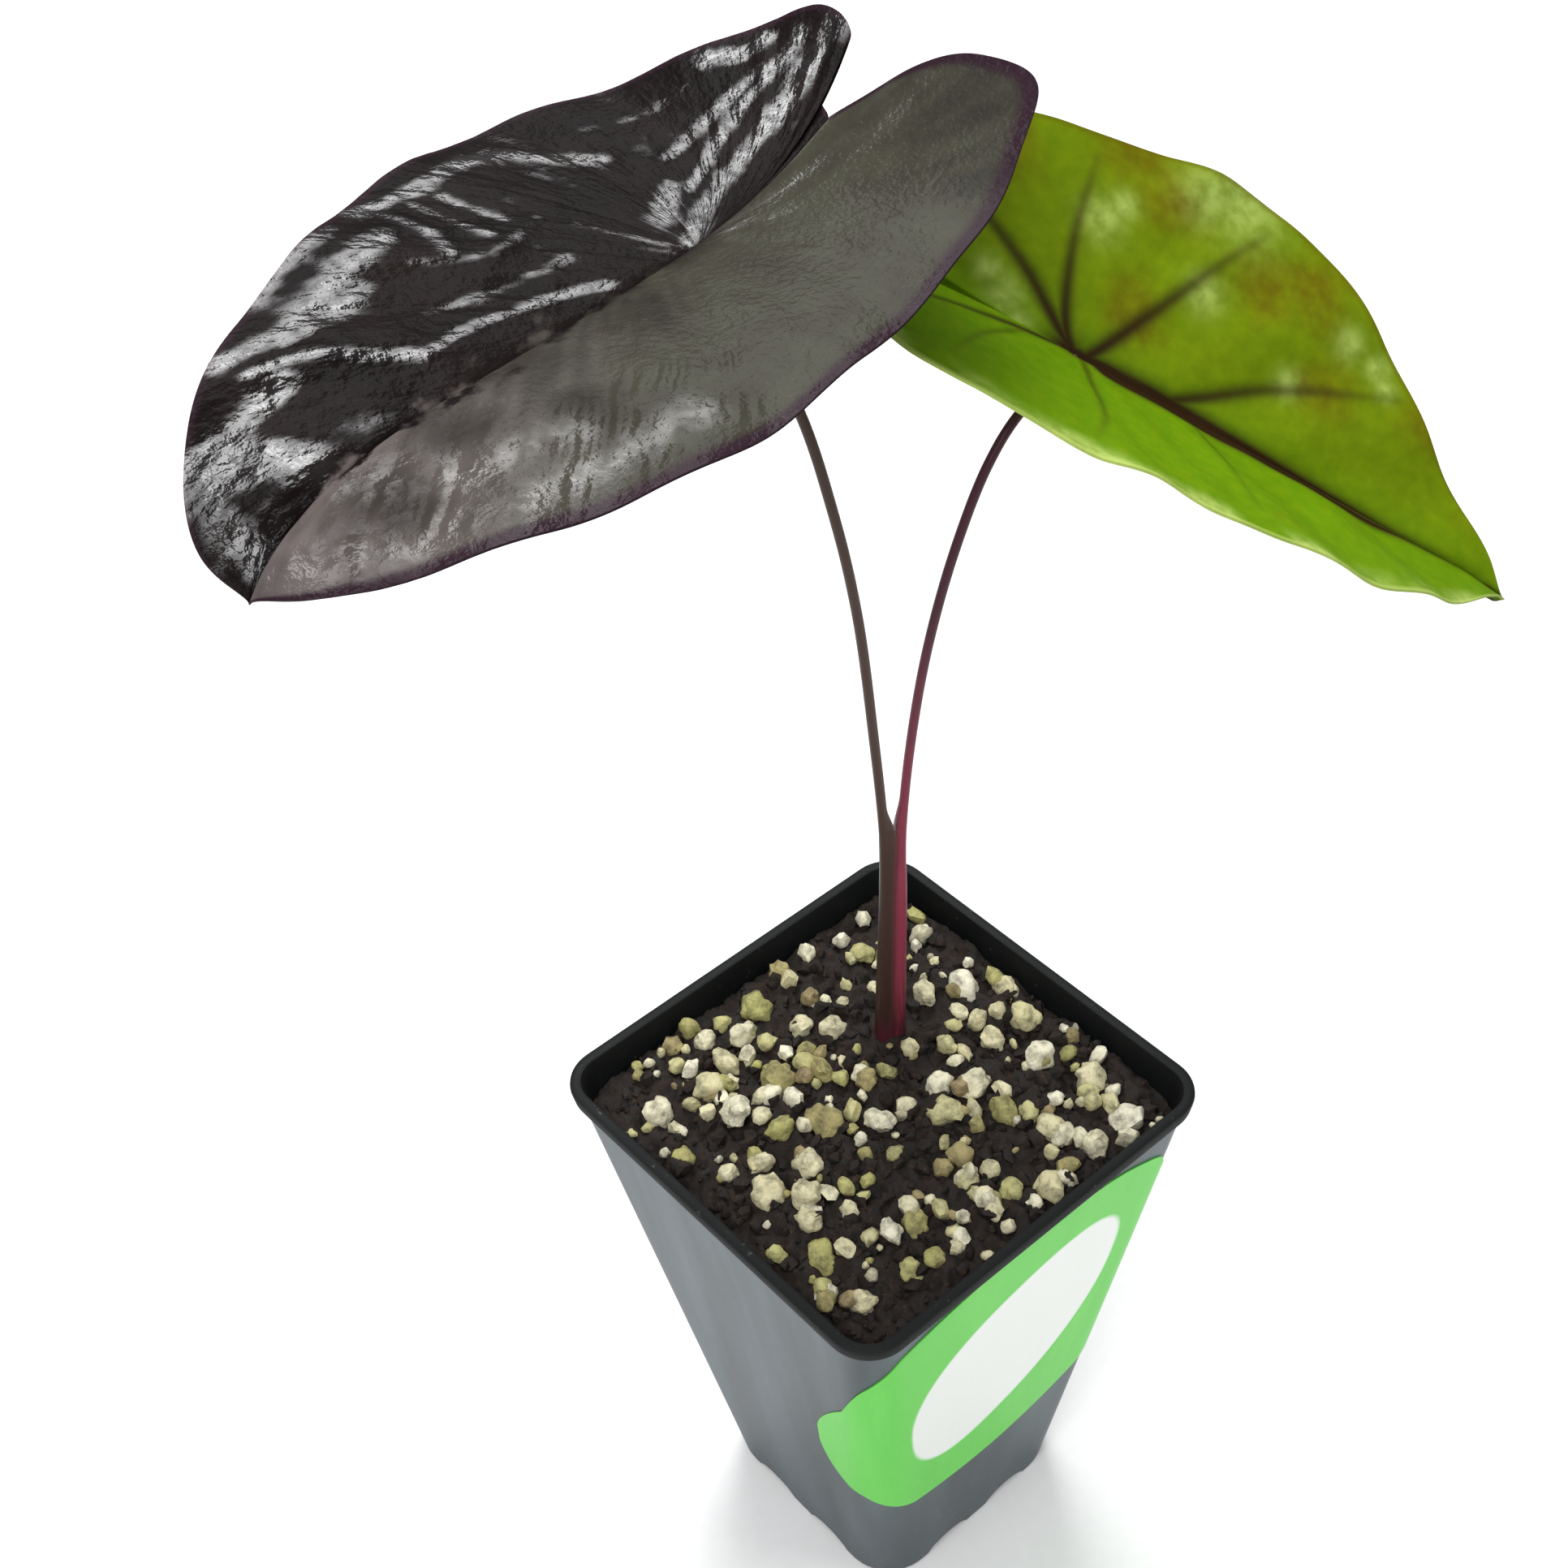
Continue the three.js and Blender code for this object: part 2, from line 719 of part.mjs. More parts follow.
// Skins the strip between two lines on both faces, and closes it along the margin
function closeStrip(skin, line, next, flip) {
  for (let step = 0; step < BLADE.steps; step += 1) {
    const [a, b, c, d] = [line[step], line[step + 1], next[step + 1], next[step]];
    skin.addTriangle([a, b, c], flip);
    skin.addTriangle([a, c, d], flip);
    skin.addTriangle([c + 1, b + 1, a + 1], flip);
    skin.addTriangle([d + 1, c + 1, a + 1], flip);
  }
  const [b, c] = [line[BLADE.steps], next[BLADE.steps]];
  skin.addTriangle([b + 1, c + 1, c], flip);
  skin.addTriangle([b + 1, c, b], flip);
}

// Leaf stalks

function stemAxis(z) {
  const rise = z - STEM.baseHeight;
  return new THREE.Vector3(STEM.base[0] + STEM.lean[0] * rise, STEM.base[1] + STEM.lean[1] * rise, z);
}

const stemSide = () => new THREE.Vector3(STEM.side[0], STEM.side[1], 0).normalize();

function makeStalk(stalk, leaf) {
  const outward = stemSide().multiplyScalar(stalk.towards);
  const { normal } = leafAxes(leaf);
  const under = leaf.thickness / 2 + leaf.midribDepth + leaf.ribHeight + CLEARANCE;
  const waypoints = [
    ...STEM.sheathHeights.map((z) => stemAxis(z).addScaledVector(outward, STEM.halfSpacing)),
    ...stalk.path.map(vector),
    vector(leaf.junction).addScaledVector(normal, -under),
  ];
  return stalkSolid(new THREE.CatmullRomCurve3(waypoints, false, "centripetal"), {
    steps: STEM.steps,
    sides: STEM.sides,
    firstSide: outward,
    ovalAt: (share) => stalkOval(stalk, share),
    shape: (point, centre) => pressedFlat(point, centre, outward),
  });
}

// Wide and deep in the sheath, round above it, and flared under the blade
function stalkOval(stalk, share) {
  const sheath = Math.max(0, 1 - share / STALK_SHAPE.sheathEnd) ** STALK_SHAPE.sheathEase;
  const flare = Math.max(0, (share - STALK_SHAPE.flareStart) / (1 - STALK_SHAPE.flareStart));
  const round = stalk.radius * mix(1, STALK_SHAPE.flare, flare);
  return [mix(round, stalk.sheathRadius, sheath), mix(round, stalk.sheathDepth, sheath)];
}

// Up to the fork, the side that faces the other stalk lies flat on the plane between the two.
function pressedFlat(point, centre, outward) {
  const inner = point.clone().sub(centre).dot(outward) < 0;
  if (!inner || centre.z > STEM.pressedTo) return point;
  const short = CLEARANCE / 2 - point.clone().sub(stemAxis(point.z)).dot(outward);
  return point.addScaledVector(outward, short);
}

// The whole plant in its pot

function material(color, roughness) {
  return new THREE.MeshStandardMaterial({ color, roughness });
}

function piece(name, geometry, color, roughness) {
  const mesh = new THREE.Mesh(geometry, material(color, roughness));
  mesh.name = name;
  return mesh;
}

const plant = new THREE.Group();
plant.add(
  piece("pot", makePot(), 0x5f6668, 0.5),
  piece("label", makeLabel(), 0x7edc63, 0.4),
  piece("potting_mix", makeMix(), 0x2b2420, 0.95),
  piece("corm", fromManifold(cormSolid(0)), 0x6b4c36, 0.8),
  piece("petiole_black_leaf", makeStalk(BLACK_STALK, BLACK_LEAF), 0x4a3f3b, 0.45),
  piece("petiole_green_leaf", makeStalk(GREEN_STALK, GREEN_LEAF), 0x9c3b4f, 0.45),
  piece("blade_black_leaf", makeBlade(BLACK_LEAF), 0x2c2226, 0.25),
  piece("blade_green_leaf", makeBlade(GREEN_LEAF), 0x6aa40a, 0.4),
);

export default plant;
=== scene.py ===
"""A young black elephant ear in a small square nursery pot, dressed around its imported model.

Lengths are in millimetres until a mesh is finished, where MM turns them to metres.
"""

import math
from functools import partial

import bmesh
import bpy
import numpy as np
from bpy.props import FloatProperty, FloatVectorProperty, IntProperty, PointerProperty
from mathutils import Matrix, Vector, noise


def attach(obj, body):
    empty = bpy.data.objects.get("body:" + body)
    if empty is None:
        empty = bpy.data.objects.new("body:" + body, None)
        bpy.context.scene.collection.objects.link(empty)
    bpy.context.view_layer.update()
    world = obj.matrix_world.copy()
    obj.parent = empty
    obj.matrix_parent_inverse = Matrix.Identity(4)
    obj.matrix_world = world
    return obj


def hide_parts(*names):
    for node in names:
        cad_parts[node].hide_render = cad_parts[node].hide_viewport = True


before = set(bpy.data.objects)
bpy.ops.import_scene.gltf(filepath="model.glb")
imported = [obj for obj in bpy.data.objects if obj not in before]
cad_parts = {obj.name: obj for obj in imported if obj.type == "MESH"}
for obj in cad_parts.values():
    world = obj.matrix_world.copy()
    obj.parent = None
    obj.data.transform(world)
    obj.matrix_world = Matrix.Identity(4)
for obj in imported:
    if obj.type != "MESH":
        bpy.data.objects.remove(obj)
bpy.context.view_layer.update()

bl_info = {
    "name": "Potted elephant ear",
    "version": (1, 0, 0),
    "blender": (4, 5, 0),
    "location": "3D View > Sidebar > Plant",
    "description": "Builds the visible plant, pot and potting mix around the packed model",
    "category": "Object",
}

MM = 0.001
BODY = "root"

# Pot, in the same measures as its solid

POT_HEIGHT = 94.0
POT_TOP_WIDTH = 65.0
POT_BOTTOM_WIDTH = 40.0
POT_TOP_CORNER = 5.5
POT_BOTTOM_CORNER = 8.0
POT_FLOOR = 1.4
RIM_HEIGHT = 2.2
RIM_STEP = 0.9
CORNER_STEPS = 12
SIDE_STEPS = 14
POT_SHARPNESS = 32

# Drain notches: half width, height and how far they stand from a wall's middle
NOTCH_HALF_WIDTH = 4.5
NOTCH_HEIGHT = 3.0
NOTCH_OFFSET = 6.5

# Sticker: its ends and heights as wall places, as in its solid

STICKER_ENDS = (-2.3, 2.2)
STICKER_HEIGHTS = (27.5, 90.6)
STICKER_SQUARENESS = 1.9
# How far its front and its back stand off the wall
STICKER_FACES = (0.22, 0.02)

# Potting mix

MIX_EDGE = 89.6
MIX_HEAP = 1.8
MIX_GAP = 1.3
MIX_WAVES = (
    (0.52, 0.19, 1.3, 0.35), (-0.24, 0.55, 0.8, 0.35),
    (0.83, -0.61, 2.1, 0.25), (0.97, 0.88, 0.4, 0.2),
)
PERLITE_LUMPS = 84
PERLITE_RADII = (1.5, 3.1)
LUMP_SEED = 41
PERLITE_SEED = 19
CRUMB_SEED = 7

# Stem: where it stands, how it leans for each millimetre of height, and the way across its two halves

STEM_BASE = (9.5, 8.0)
STEM_BASE_HEIGHT = 90.0
STEM_LEAN = (0.044, -0.006)
STEM_SIDE = (0.87, -0.49)

# Blades: margins run from the tip to the notch in the flat leaf, x along the midrib

VEIN_PLACES = (0, 0.12, 0.23, 0.34, 0.46, 0.6, 0.74, 0.87, 1)
# About how long a margin and a side vein are, and how often the margin ripples
MARGIN_LENGTH = 130
VEIN_LENGTH = 26
RIPPLES = 7
# The spacing of the grid's lines, for a whole share of the margin, at which a relief has its full height
FULL_SPREAD = 150

BLACK_LEAF = {
    "junction": (-1.5, 24.1, 219.6),
    "heading": -166.8, "dip": -3.0, "roll": 7.7,
    "left": {
        "margin": (
            (72, 0), (69.4, 8.2), (60.6, 17.9), (46.2, 25.6), (29.1, 30.8), (10.6, 31.9), (-7.7, 31.4),
            (-24.1, 29.6), (-36.1, 26), (-38.5, 16.7), (-35.7, 9.2), (-31.5, 3.9), (-27.1, 0),
        ),
        "fold": 0.7, "curl": 0.0051,
    },
    "right": {
        "margin": (
            (72, 0), (69.6, -8), (60.2, -17), (45.5, -24.5), (28.5, -31.3), (10.6, -35.9), (-7.6, -36),
            (-23.2, -29.6), (-35.6, -20.7), (-43.3, -12.2), (-40.1, -5.5), (-31.3, -5.4), (-27.1, 0),
        ),
        "fold": 15.1, "curl": 0.0019,
    },
    "arch": -0.002, "tip_droop": 1.51, "back_arch": -0.012, "twist": -0.0032,
    "ripple": 0.45, "midrib_depth": 1.0, "rib_height": 0.45,
    "grooves": (0.04, 0.15), "midrib_groove": 0.12,
}

# Where the black leaf's skin is most polished: points in the flat leaf, half widths at the ends, strength
GLINTS = (
    (((54, -20), (47, -19), (40, -21), (33, -23.5), (25, -25.5)), 1.5, 2.0, 1.0),
    (((47, -18), (40, -18.5), (34, -20)), 1.2, 1.6, 0.9),
    (((21, -30), (20, -24), (21.5, -19)), 0.6, 0.9, 0.9),
    (((16.5, -29), (16, -24), (15, -19)), 0.6, 0.8, 0.85),
    (((12.5, -28), (12, -24), (11, -20)), 0.8, 0.7, 0.8),
    (((44, -25), (36, -28), (28, -30)), 0.9, 1.1, 0.7),
    (((23, -31.5), (14, -31), (4, -32), (-1, -30.5), (-4, -26), (-8, -21.5)), 1.5, 1.6, 0.95),
    (((62, -14), (57, -13), (51, -14)), 1.5, 1.6, 1.0),
    (((63, -12), (60, -9), (57, -5)), 4.6, 3.0, 1.0),
    (((57, 2), (54, 7), (50, 11)), 2.2, 3.2, 0.9),
    (((66, -8), (68, -2), (68, 3), (64, 9), (57, 15)), 1.8, 2.8, 1.0),
    (((53, -17), (47, -15), (42, -11), (38, -8)), 0.7, 1.0, 0.9),
    (((38, -7.5), (30, -8), (24, -7), (18, -6), (13, -3.5)), 0.9, 1.1, 0.85),
    (((-2, -7.5), (-4, -9), (-8, -11)), 2.0, 1.5, 1.0),
    (((0, -2), (-6, -5), (-16, -7), (-30, -8), (-42, -8.5)), 1.3, 1.8, 1.0),
    (((-9, -9), (-18, -11.5), (-28, -12.5), (-39, -12)), 0.9, 1.3, 0.95),
    (((-13, -15), (-22, -15), (-32, -14)), 0.9, 1.1, 0.9),
    (((-31, -21), (-34, -17), (-37, -16)), 1.9, 1.5, 1.0),
    (((31, -13), (22, -11), (12, -10)), 0.8, 1.0, 0.5),
    (((6, -14), (4, -9), (2, -4)), 0.9, 0.8, 0.45),
    (((26, -20), (18, -16), (8, -18)), 0.8, 0.8, 0.4),
    (((-12, -27), (-19, -23), (-26, -21)), 0.8, 0.8, 0.4),
    (((48, 13), (44, 14), (38, 16)), 2.0, 2.6, 0.7),
    (((-4, 3), (-16, 5), (-37, 7.5)), 0.7, 1.0, 0.75),
    (((-7, 6.5), (-18, 9.5), (-35, 12)), 0.6, 0.9, 0.5),
    (((52, 19), (42, 21), (28, 24)), 2.0, 2.4, 0.55),
)

# Where the satin half of the black leaf is dullest and has painted shade in its colour: x, y and reach in the
# flat leaf
DULL_AND_SHADED_SPOTS = (
    (-33, 19, 8), (-22, 28, 6), (58, 8, 7), (45, 6, 7), (30, 4, 9), (15, 3, 9), (-36, 26, 6), (33, 13, 5),
)

GREEN_LEAF = {
    "junction": (42.4, 6.1, 192.9),
    "heading": -47.0, "dip": 31.8, "roll": 15.0,
    "left": {
        "margin": (
            (67.6, 0), (62.7, 5.3), (51.6, 12.5), (39.6, 22.3), (25.6, 30.1), (9.6, 32.6), (-6.4, 29.6),
            (-20.5, 26.1), (-30.9, 19.2), (-35.6, 11.7), (-32.2, 5.5), (-24.5, 2.2), (-17.5, 0),
        ),
        "fold": 25.7, "curl": 0.0047,
    },
    "right": {
        "margin": (
            (67.6, 0), (63, -5.7), (53.6, -15), (40.6, -23.2), (24.9, -27), (9.1, -30), (-7.1, -31.7),
            (-22.4, -29.8), (-32.4, -21.2), (-36.2, -12.3), (-32.3, -5.6), (-24.4, -2.1), (-17.5, 0),
        ),
        "fold": 26.3, "curl": -0.0017,
    },
    "arch": 0.0007, "tip_droop": 0.0, "back_arch": 0.0033, "twist": 0.0002,
    "ripple": 0.4, "midrib_depth": 0.9, "rib_height": 0.4,
    "grooves": (0.16, 0.16), "midrib_groove": 0.1,
}

# The green leaf's own veins in the flat leaf: points, half width at the start and end, and darkness
GREEN_VEINS = (
    (((0, 0), (6, 0.3), (12.9, 0.4), (30, 0), (60, 0), (67, 0)), 2.4, 1.7, 1.6),
    (((4, -2), (20, -2.6), (45, -2.6), (66, -0.6)), 2.2, 1.6, 1.6),
    (((-2.5, 1), (0, 0), (3, -0.8)), 2.9, 2.6, 1.0),
    (((64.5, 0), (67.6, 0)), 1.3, 1.1, 1.6),
    (((11, 0.4), (17, 4.6), (24.7, 9.9), (32, 13.4), (42, 17.5)), 1.25, 0.7, 0.95),
    (((0, 0), (4.2, 7.2), (8.8, 15), (13.6, 23), (17.4, 28.4)), 1.4, 0.7, 1.0),
    (((0, 0), (-3.3, 4.3), (-6.2, 14.4), (-7.2, 26.2)), 1.35, 0.6, 1.0),
    (((0, 0), (-5, 4.2), (-10.8, 8.6), (-19.5, 13.2), (-30, 16.5)), 1.3, 0.65, 1.0),
    (((0, 0), (-10.6, -3.6), (-20.8, -7.9), (-31, -13)), 1.3, 0.6, 0.95),
    (((-8, -2.9), (-14.5, -12), (-19.4, -23.6)), 0.7, 0.5, 0.45),
    (((0, 0), (0.6, -8), (1.2, -19), (-1, -27)), 0.8, 0.5, 0.6),
    (((11, -0.4), (15.1, -3.1), (19.8, -13.2), (23, -22)), 0.8, 0.5, 0.5),
)

# Painted highlights as soft pale patches, and patches that start to darken, on the green leaf: x, y and reach
# in the flat leaf
PAINTED_HIGHLIGHT_SPOTS = (
    (13, 31, 5), (8, 29, 3.5), (-4, 19, 2.6), (-2, 22, 1.8), (-12, 4, 2.4), (-9, 1.6, 1.6), (-15, 6, 1.8),
    (33, 21, 2), (38, 20, 1.8), (40, 18, 1.4), (12, 17, 2.4), (27, 12, 1.8),
)
OLIVE_SPOTS = (
    (-3, 31, 7), (3, 26, 6), (20, 22, 6), (26, 25, 6), (47, 17, 5), (-20, 23, 6), (31, 13, 5), (5, 10, 5),
    (-28, -5, 5),
)

# Leaf stalks: the same waypoints as their solids

SHEATH_HEIGHTS = (75.8, 90, 105, 120)
HALF_SPACING = 1.15
FORK_HEIGHT = 134.0
BLACK_STALK = {
    "towards": -1.0,
    "path": (
        (9.5, 8, 132), (9, 8.8, 149), (8.1, 10.1, 169.5), (6.7, 12, 184.5), (4.5, 15.2, 200),
        (1.4, 19.8, 211),
    ),
    "sheath": (1.25, 2.1), "radius": 0.68,
}
GREEN_STALK = {
    "towards": 1.0,
    "path": (
        (12.6, 7.7, 131), (14.6, 7.7, 146), (17.7, 7.5, 160.5), (22.3, 7.3, 173.5), (27.8, 7, 184),
        (33, 6.9, 188.9),
    ),
    "sheath": (1.25, 2.0), "radius": 0.65,
}

# Stage: the camera's azimuth and elevation, roll, lens and place in metres, as fitted to the photograph

CAMERA_VIEW = (-38.42, 43.58)
CAMERA_ROLL = 4.07
CAMERA_LENS = 54.04
CAMERA_PLACE = (-0.14024, -0.15997, 0.35608)
LIT_PLACE = (0, 0, 0.17)
WORLD_STRENGTH = 0.25
# Softboxes: azimuth as from the front, elevation, distance, width, height, power
SOFTBOXES = {
    "back_window": (140, 45, 0.9, 0.3, 0.56, 3.4),
    "high_window": (147, 66, 0.9, 0.44, 0.4, 4.8),
    "overhead": (-140, 72, 0.8, 0.36, 0.36, 2.0),
    "front_key": (-60, 50, 0.9, 0.5, 0.5, 5.8),
    "front_fill": (28, 38, 1.1, 0.34, 0.26, 2.4),
}


# Small helpers


def linear(text, alpha=1.0):
    """Turns an sRGB hex colour to the linear one that shaders take."""
    values = [int(text[i:i + 2], 16) / 255 for i in (1, 3, 5)]
    return (*(v / 12.92 if v <= 0.04045 else ((v + 0.055) / 1.055) ** 2.4 for v in values), alpha)


def mix(a, b, share):
    return a + (b - a) * share


def smooth_step(low, high, value):
    """0 below low, 1 above high and an easy curve between them, for numbers and arrays."""
    share = np.clip((value - low) / (high - low), 0, 1)
    return share * share * (3 - 2 * share)


def seeded_draw(seed):
    """A repeatable draw of numbers from 0 to 1, the same one as in the solids."""
    state = seed
    while True:
        state = (state * 1664525 + 1013904223) % 2 ** 32
        yield state / 2 ** 32


def seen_from(azimuth, elevation):
    """The direction of a place round the plant, with angles in degrees and 0 in front."""
    a, e = math.radians(azimuth), math.radians(elevation)
    return Vector((math.sin(a) * math.cos(e), -math.cos(a) * math.cos(e), math.sin(e)))


def linked(name, bm, scale=MM):
    """Makes a bmesh a new object in the scene. The scale turns its lengths to metres."""
    bmesh.ops.scale(bm, vec=(scale, scale, scale), verts=bm.verts)
    mesh = bpy.data.meshes.new(name)
    bm.to_mesh(mesh)
    bm.free()
    piece = bpy.data.objects.new(name, mesh)
    bpy.context.scene.collection.objects.link(piece)
    return piece


def finished(name, bm, material, slot, *nodes, smooth_angle=40):
    """Makes a bmesh in millimetres the finished piece of that name, and hides the model's parts that it
    stands for.
    """
    piece = linked(name, bm)
    piece.data.shade_smooth()
    piece.data.set_sharp_from_angle(angle=math.radians(smooth_angle))
    piece.data.materials.append(material)
    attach(piece, BODY)
    if nodes:
        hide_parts(*nodes)
    return piece


def new_verts(made):
    return [item for item in made["geom"] if isinstance(item, bmesh.types.BMVert)]


def extruded_rings(rings):
    """Extrudes a circle of vertices through a row of rings, and closes both ends with a face."""
    bm = bmesh.new()
    place = bm.verts.layers.int.new("place")
    bmesh.ops.create_circle(bm, segments=len(rings[0]), radius=1)
    for index, vert in enumerate(bm.verts):
        vert[place] = index
        vert.co = rings[0][index]
    edges = bm.edges[:]
    bmesh.ops.contextual_create(bm, geom=edges)
    for ring in rings[1:]:
        verts = new_verts(bmesh.ops.extrude_edge_only(bm, edges=edges))
        for vert in verts:
            vert.co = ring[vert[place]]
        fresh = set(verts)
        edges = [edge for edge in bm.edges if edge.verts[0] in fresh and edge.verts[1] in fresh]
    bmesh.ops.contextual_create(bm, geom=edges)
    bmesh.ops.recalc_face_normals(bm, faces=bm.faces)
    return bm


def two_faced_sheet(columns, rows, shape, upper_only=()):
    """A thin closed sheet from a grid.

    shape gets the grid's shares from 0 to 1 along its columns and its rows. It gives the sheet's
    points laid flat, where those that meet are welded, its upper and its lower points, its UV maps
    by name and its vertex values by name. The values named in upper_only are 0 on the lower face.
    """
    bm = bmesh.new()
    bmesh.ops.create_grid(bm, x_segments=columns, y_segments=rows, size=1)
    shares = np.array([((vert.co.x + 1) / 2, (vert.co.y + 1) / 2) for vert in bm.verts])
    flat, upper, lower, maps, values = shape(shares[:, 0], shares[:, 1])
    place = bm.verts.layers.int.new("place")
    for index, vert in enumerate(bm.verts):
        vert[place] = index
    for name, numbers in values.items():
        layer = bm.verts.layers.float.new(name)
        for vert in bm.verts:
            vert[layer] = numbers[vert[place]]
    for name, pairs in maps.items():
        layer = bm.loops.layers.uv.new(name)
        for face in bm.faces:
            for loop in face.loops:
                loop[layer].uv = pairs[loop.vert[place]]
    for vert in bm.verts:
        vert.co = (*flat[vert[place]], 0)
    bmesh.ops.remove_doubles(bm, verts=bm.verts, dist=1e-4)
    raised = set(new_verts(bmesh.ops.extrude_face_region(bm, geom=bm.faces[:], use_keep_orig=True)))
    for vert in bm.verts:
        vert.co = (upper if vert in raised else lower)[vert[place]]
        for name in values.keys() & upper_only if vert not in raised else ():
            vert[bm.verts.layers.float[name]] = 0
    bmesh.ops.recalc_face_normals(bm, faces=bm.faces)
    bm.verts.layers.int.remove(bm.verts.layers.int["place"])
    return bm


# Materials

# What the first of a node's values sets, by its kind
MAIN_SETTINGS = {
    "Math": "operation", "VectorMath": "operation", "Mix": "data_type", "MapRange": "interpolation_type",
    "UVMap": "uv_map", "Attribute": "attribute_name", "TexWave": "bands_direction",
}


def fill(tree, node, inputs):
    """Sets a node's inputs to values, or links them to the factor or the first output of other nodes."""
    for key, value in inputs.items():
        if isinstance(value, bpy.types.Node):
            value = value.outputs.get("Fac") or next(output for output in value.outputs if output.enabled)
        if isinstance(value, bpy.types.NodeSocket):
            tree.links.new(value, node.inputs[key])
        else:
            node.inputs[key].default_value = value


def add_node(tree, kind, *values, stops=(), **inputs):
    """Adds a node with its main setting, where a word gives it, and then its inputs in use in their order.

    A MapRange takes its value, the two ends that it comes from and the two that it goes to.
    """
    node = tree.nodes.new("ShaderNode" + kind)
    if kind in MAIN_SETTINGS and isinstance(values[0], str):
        setattr(node, MAIN_SETTINGS[kind], values[0])
        values = values[1:]
    if stops:
        ramp = node.color_ramp.elements
        while len(ramp) < len(stops):
            ramp.new(1)
        for element, (position, tint) in zip(ramp, stops):
            element.position, element.color = position, tint
    used = [index for index, socket in enumerate(node.inputs) if socket.enabled]
    fill(tree, node, dict(zip(used, values)) | inputs)
    return node


def shaded(name, **values):
    """A new material with its shader's constant values, what adds nodes to it and what fills its shader."""
    material = bpy.data.materials.new(name)
    material.use_nodes = True
    tree = material.node_tree
    shader = tree.nodes["Principled BSDF"]
    fill(tree, shader, {key.replace("_", " "): value for key, value in values.items()})
    return material, partial(add_node, tree), partial(fill, tree, shader)


def waxy_black_leaf(colours):
    """Nearly black living leaf: a dull skin whose wax is polished in torn glints, and satin on one half,
    whose grey colour is a painted sheen.
    """
    material, add, finish = shaded(
        "waxy_black_leaf", IOR=1.45, Specular_IOR_Level=0.02, Coat_Roughness=0.15, Coat_IOR=1.7)
    veins, flat = (add("UVMap", name) for name in ("veins", "flat"))
    share, side, _ = add("SeparateXYZ", veins).outputs
    # the satin half begins at the midrib, with a ragged edge that wanders further near the tip
    ragged = add("TexNoise", flat, Scale=20, Detail=4)
    past = add("MapRange", share, 0.12, 0.34, -0.36, 0)
    wander = add("MapRange", share, 0.12, 0.34, 0.85, 0.1)
    shifted = add("Math", "MULTIPLY_ADD", ragged, wander, add("Math", "ADD", side, past))
    satin = add("MapRange", "SMOOTHSTEP", shifted, 0.52, 0.64)
    # cloudy patches about 9 mm across, browner than the rest
    clouds = add("TexNoise", flat, Scale=11, Detail=4, Roughness=0.6)
    cloudy = add("MapRange", clouds, 0.4, 0.75, 0, 0.6)
    # towards the tip the satin half is warmer, and paler with more painted sheen
    to_tip = add("MapRange", "SMOOTHSTEP", share, 0.02, 0.3, 0.95, 0)
    warmed = add("Mix", "RGBA", to_tip, colours.black_painted_sheen, colours.black_tip_painted_sheen)
    # the satin half's grey colour is a painted sheen, fainter in its dull spots as painted shade
    painted_satin_sheen = add("Mix", "RGBA", add("Attribute", "tone"), colours.black_faint_sheen, warmed)
    half = add("Mix", "RGBA", satin, colours.black_gloss, painted_satin_sheen)
    skin = add("Mix", "RGBA", cloudy, half, colours.black_bloom)
    edge = add("Mix", "RGBA", add("Attribute", "rim"), skin, colours.black_rim)
    dull = add("Math", "MULTIPLY_ADD", cloudy, 0.15, 0.45)
    polish = add("Attribute", "polish")
    # hammered skin: cells of about 0.9 mm, and streaks about 1 mm apart that run along the veins
    place = add("TexCoord").outputs["Object"]
    cells = add("TexNoise", place, Scale=1100, Detail=2, Roughness=0.55)
    stretched = add("Mapping", veins, Scale=(130, 22, 1))
    streaks = add("TexNoise", stretched, Scale=1, Detail=2, Roughness=0.5)
    # the streaks are weak on the satin half and near the midrib, where the veins run together
    by_midrib = add("Math", "COMPARE", side, 0.5, 0.07)
    smoother = add("Math", "MAXIMUM", satin, by_midrib)
    streak_height = add("MapRange", smoother, 0, 1, 0.9, 0.25)
    both = add("Math", "MULTIPLY_ADD", streaks, streak_height, cells)
    bump = add("Bump", 1, 0.13 * MM, Height=both)
    finish({
        "Base Color": edge, "Roughness": dull, "Coat Weight": polish, "Normal": bump, "Coat Normal": bump})
    return material


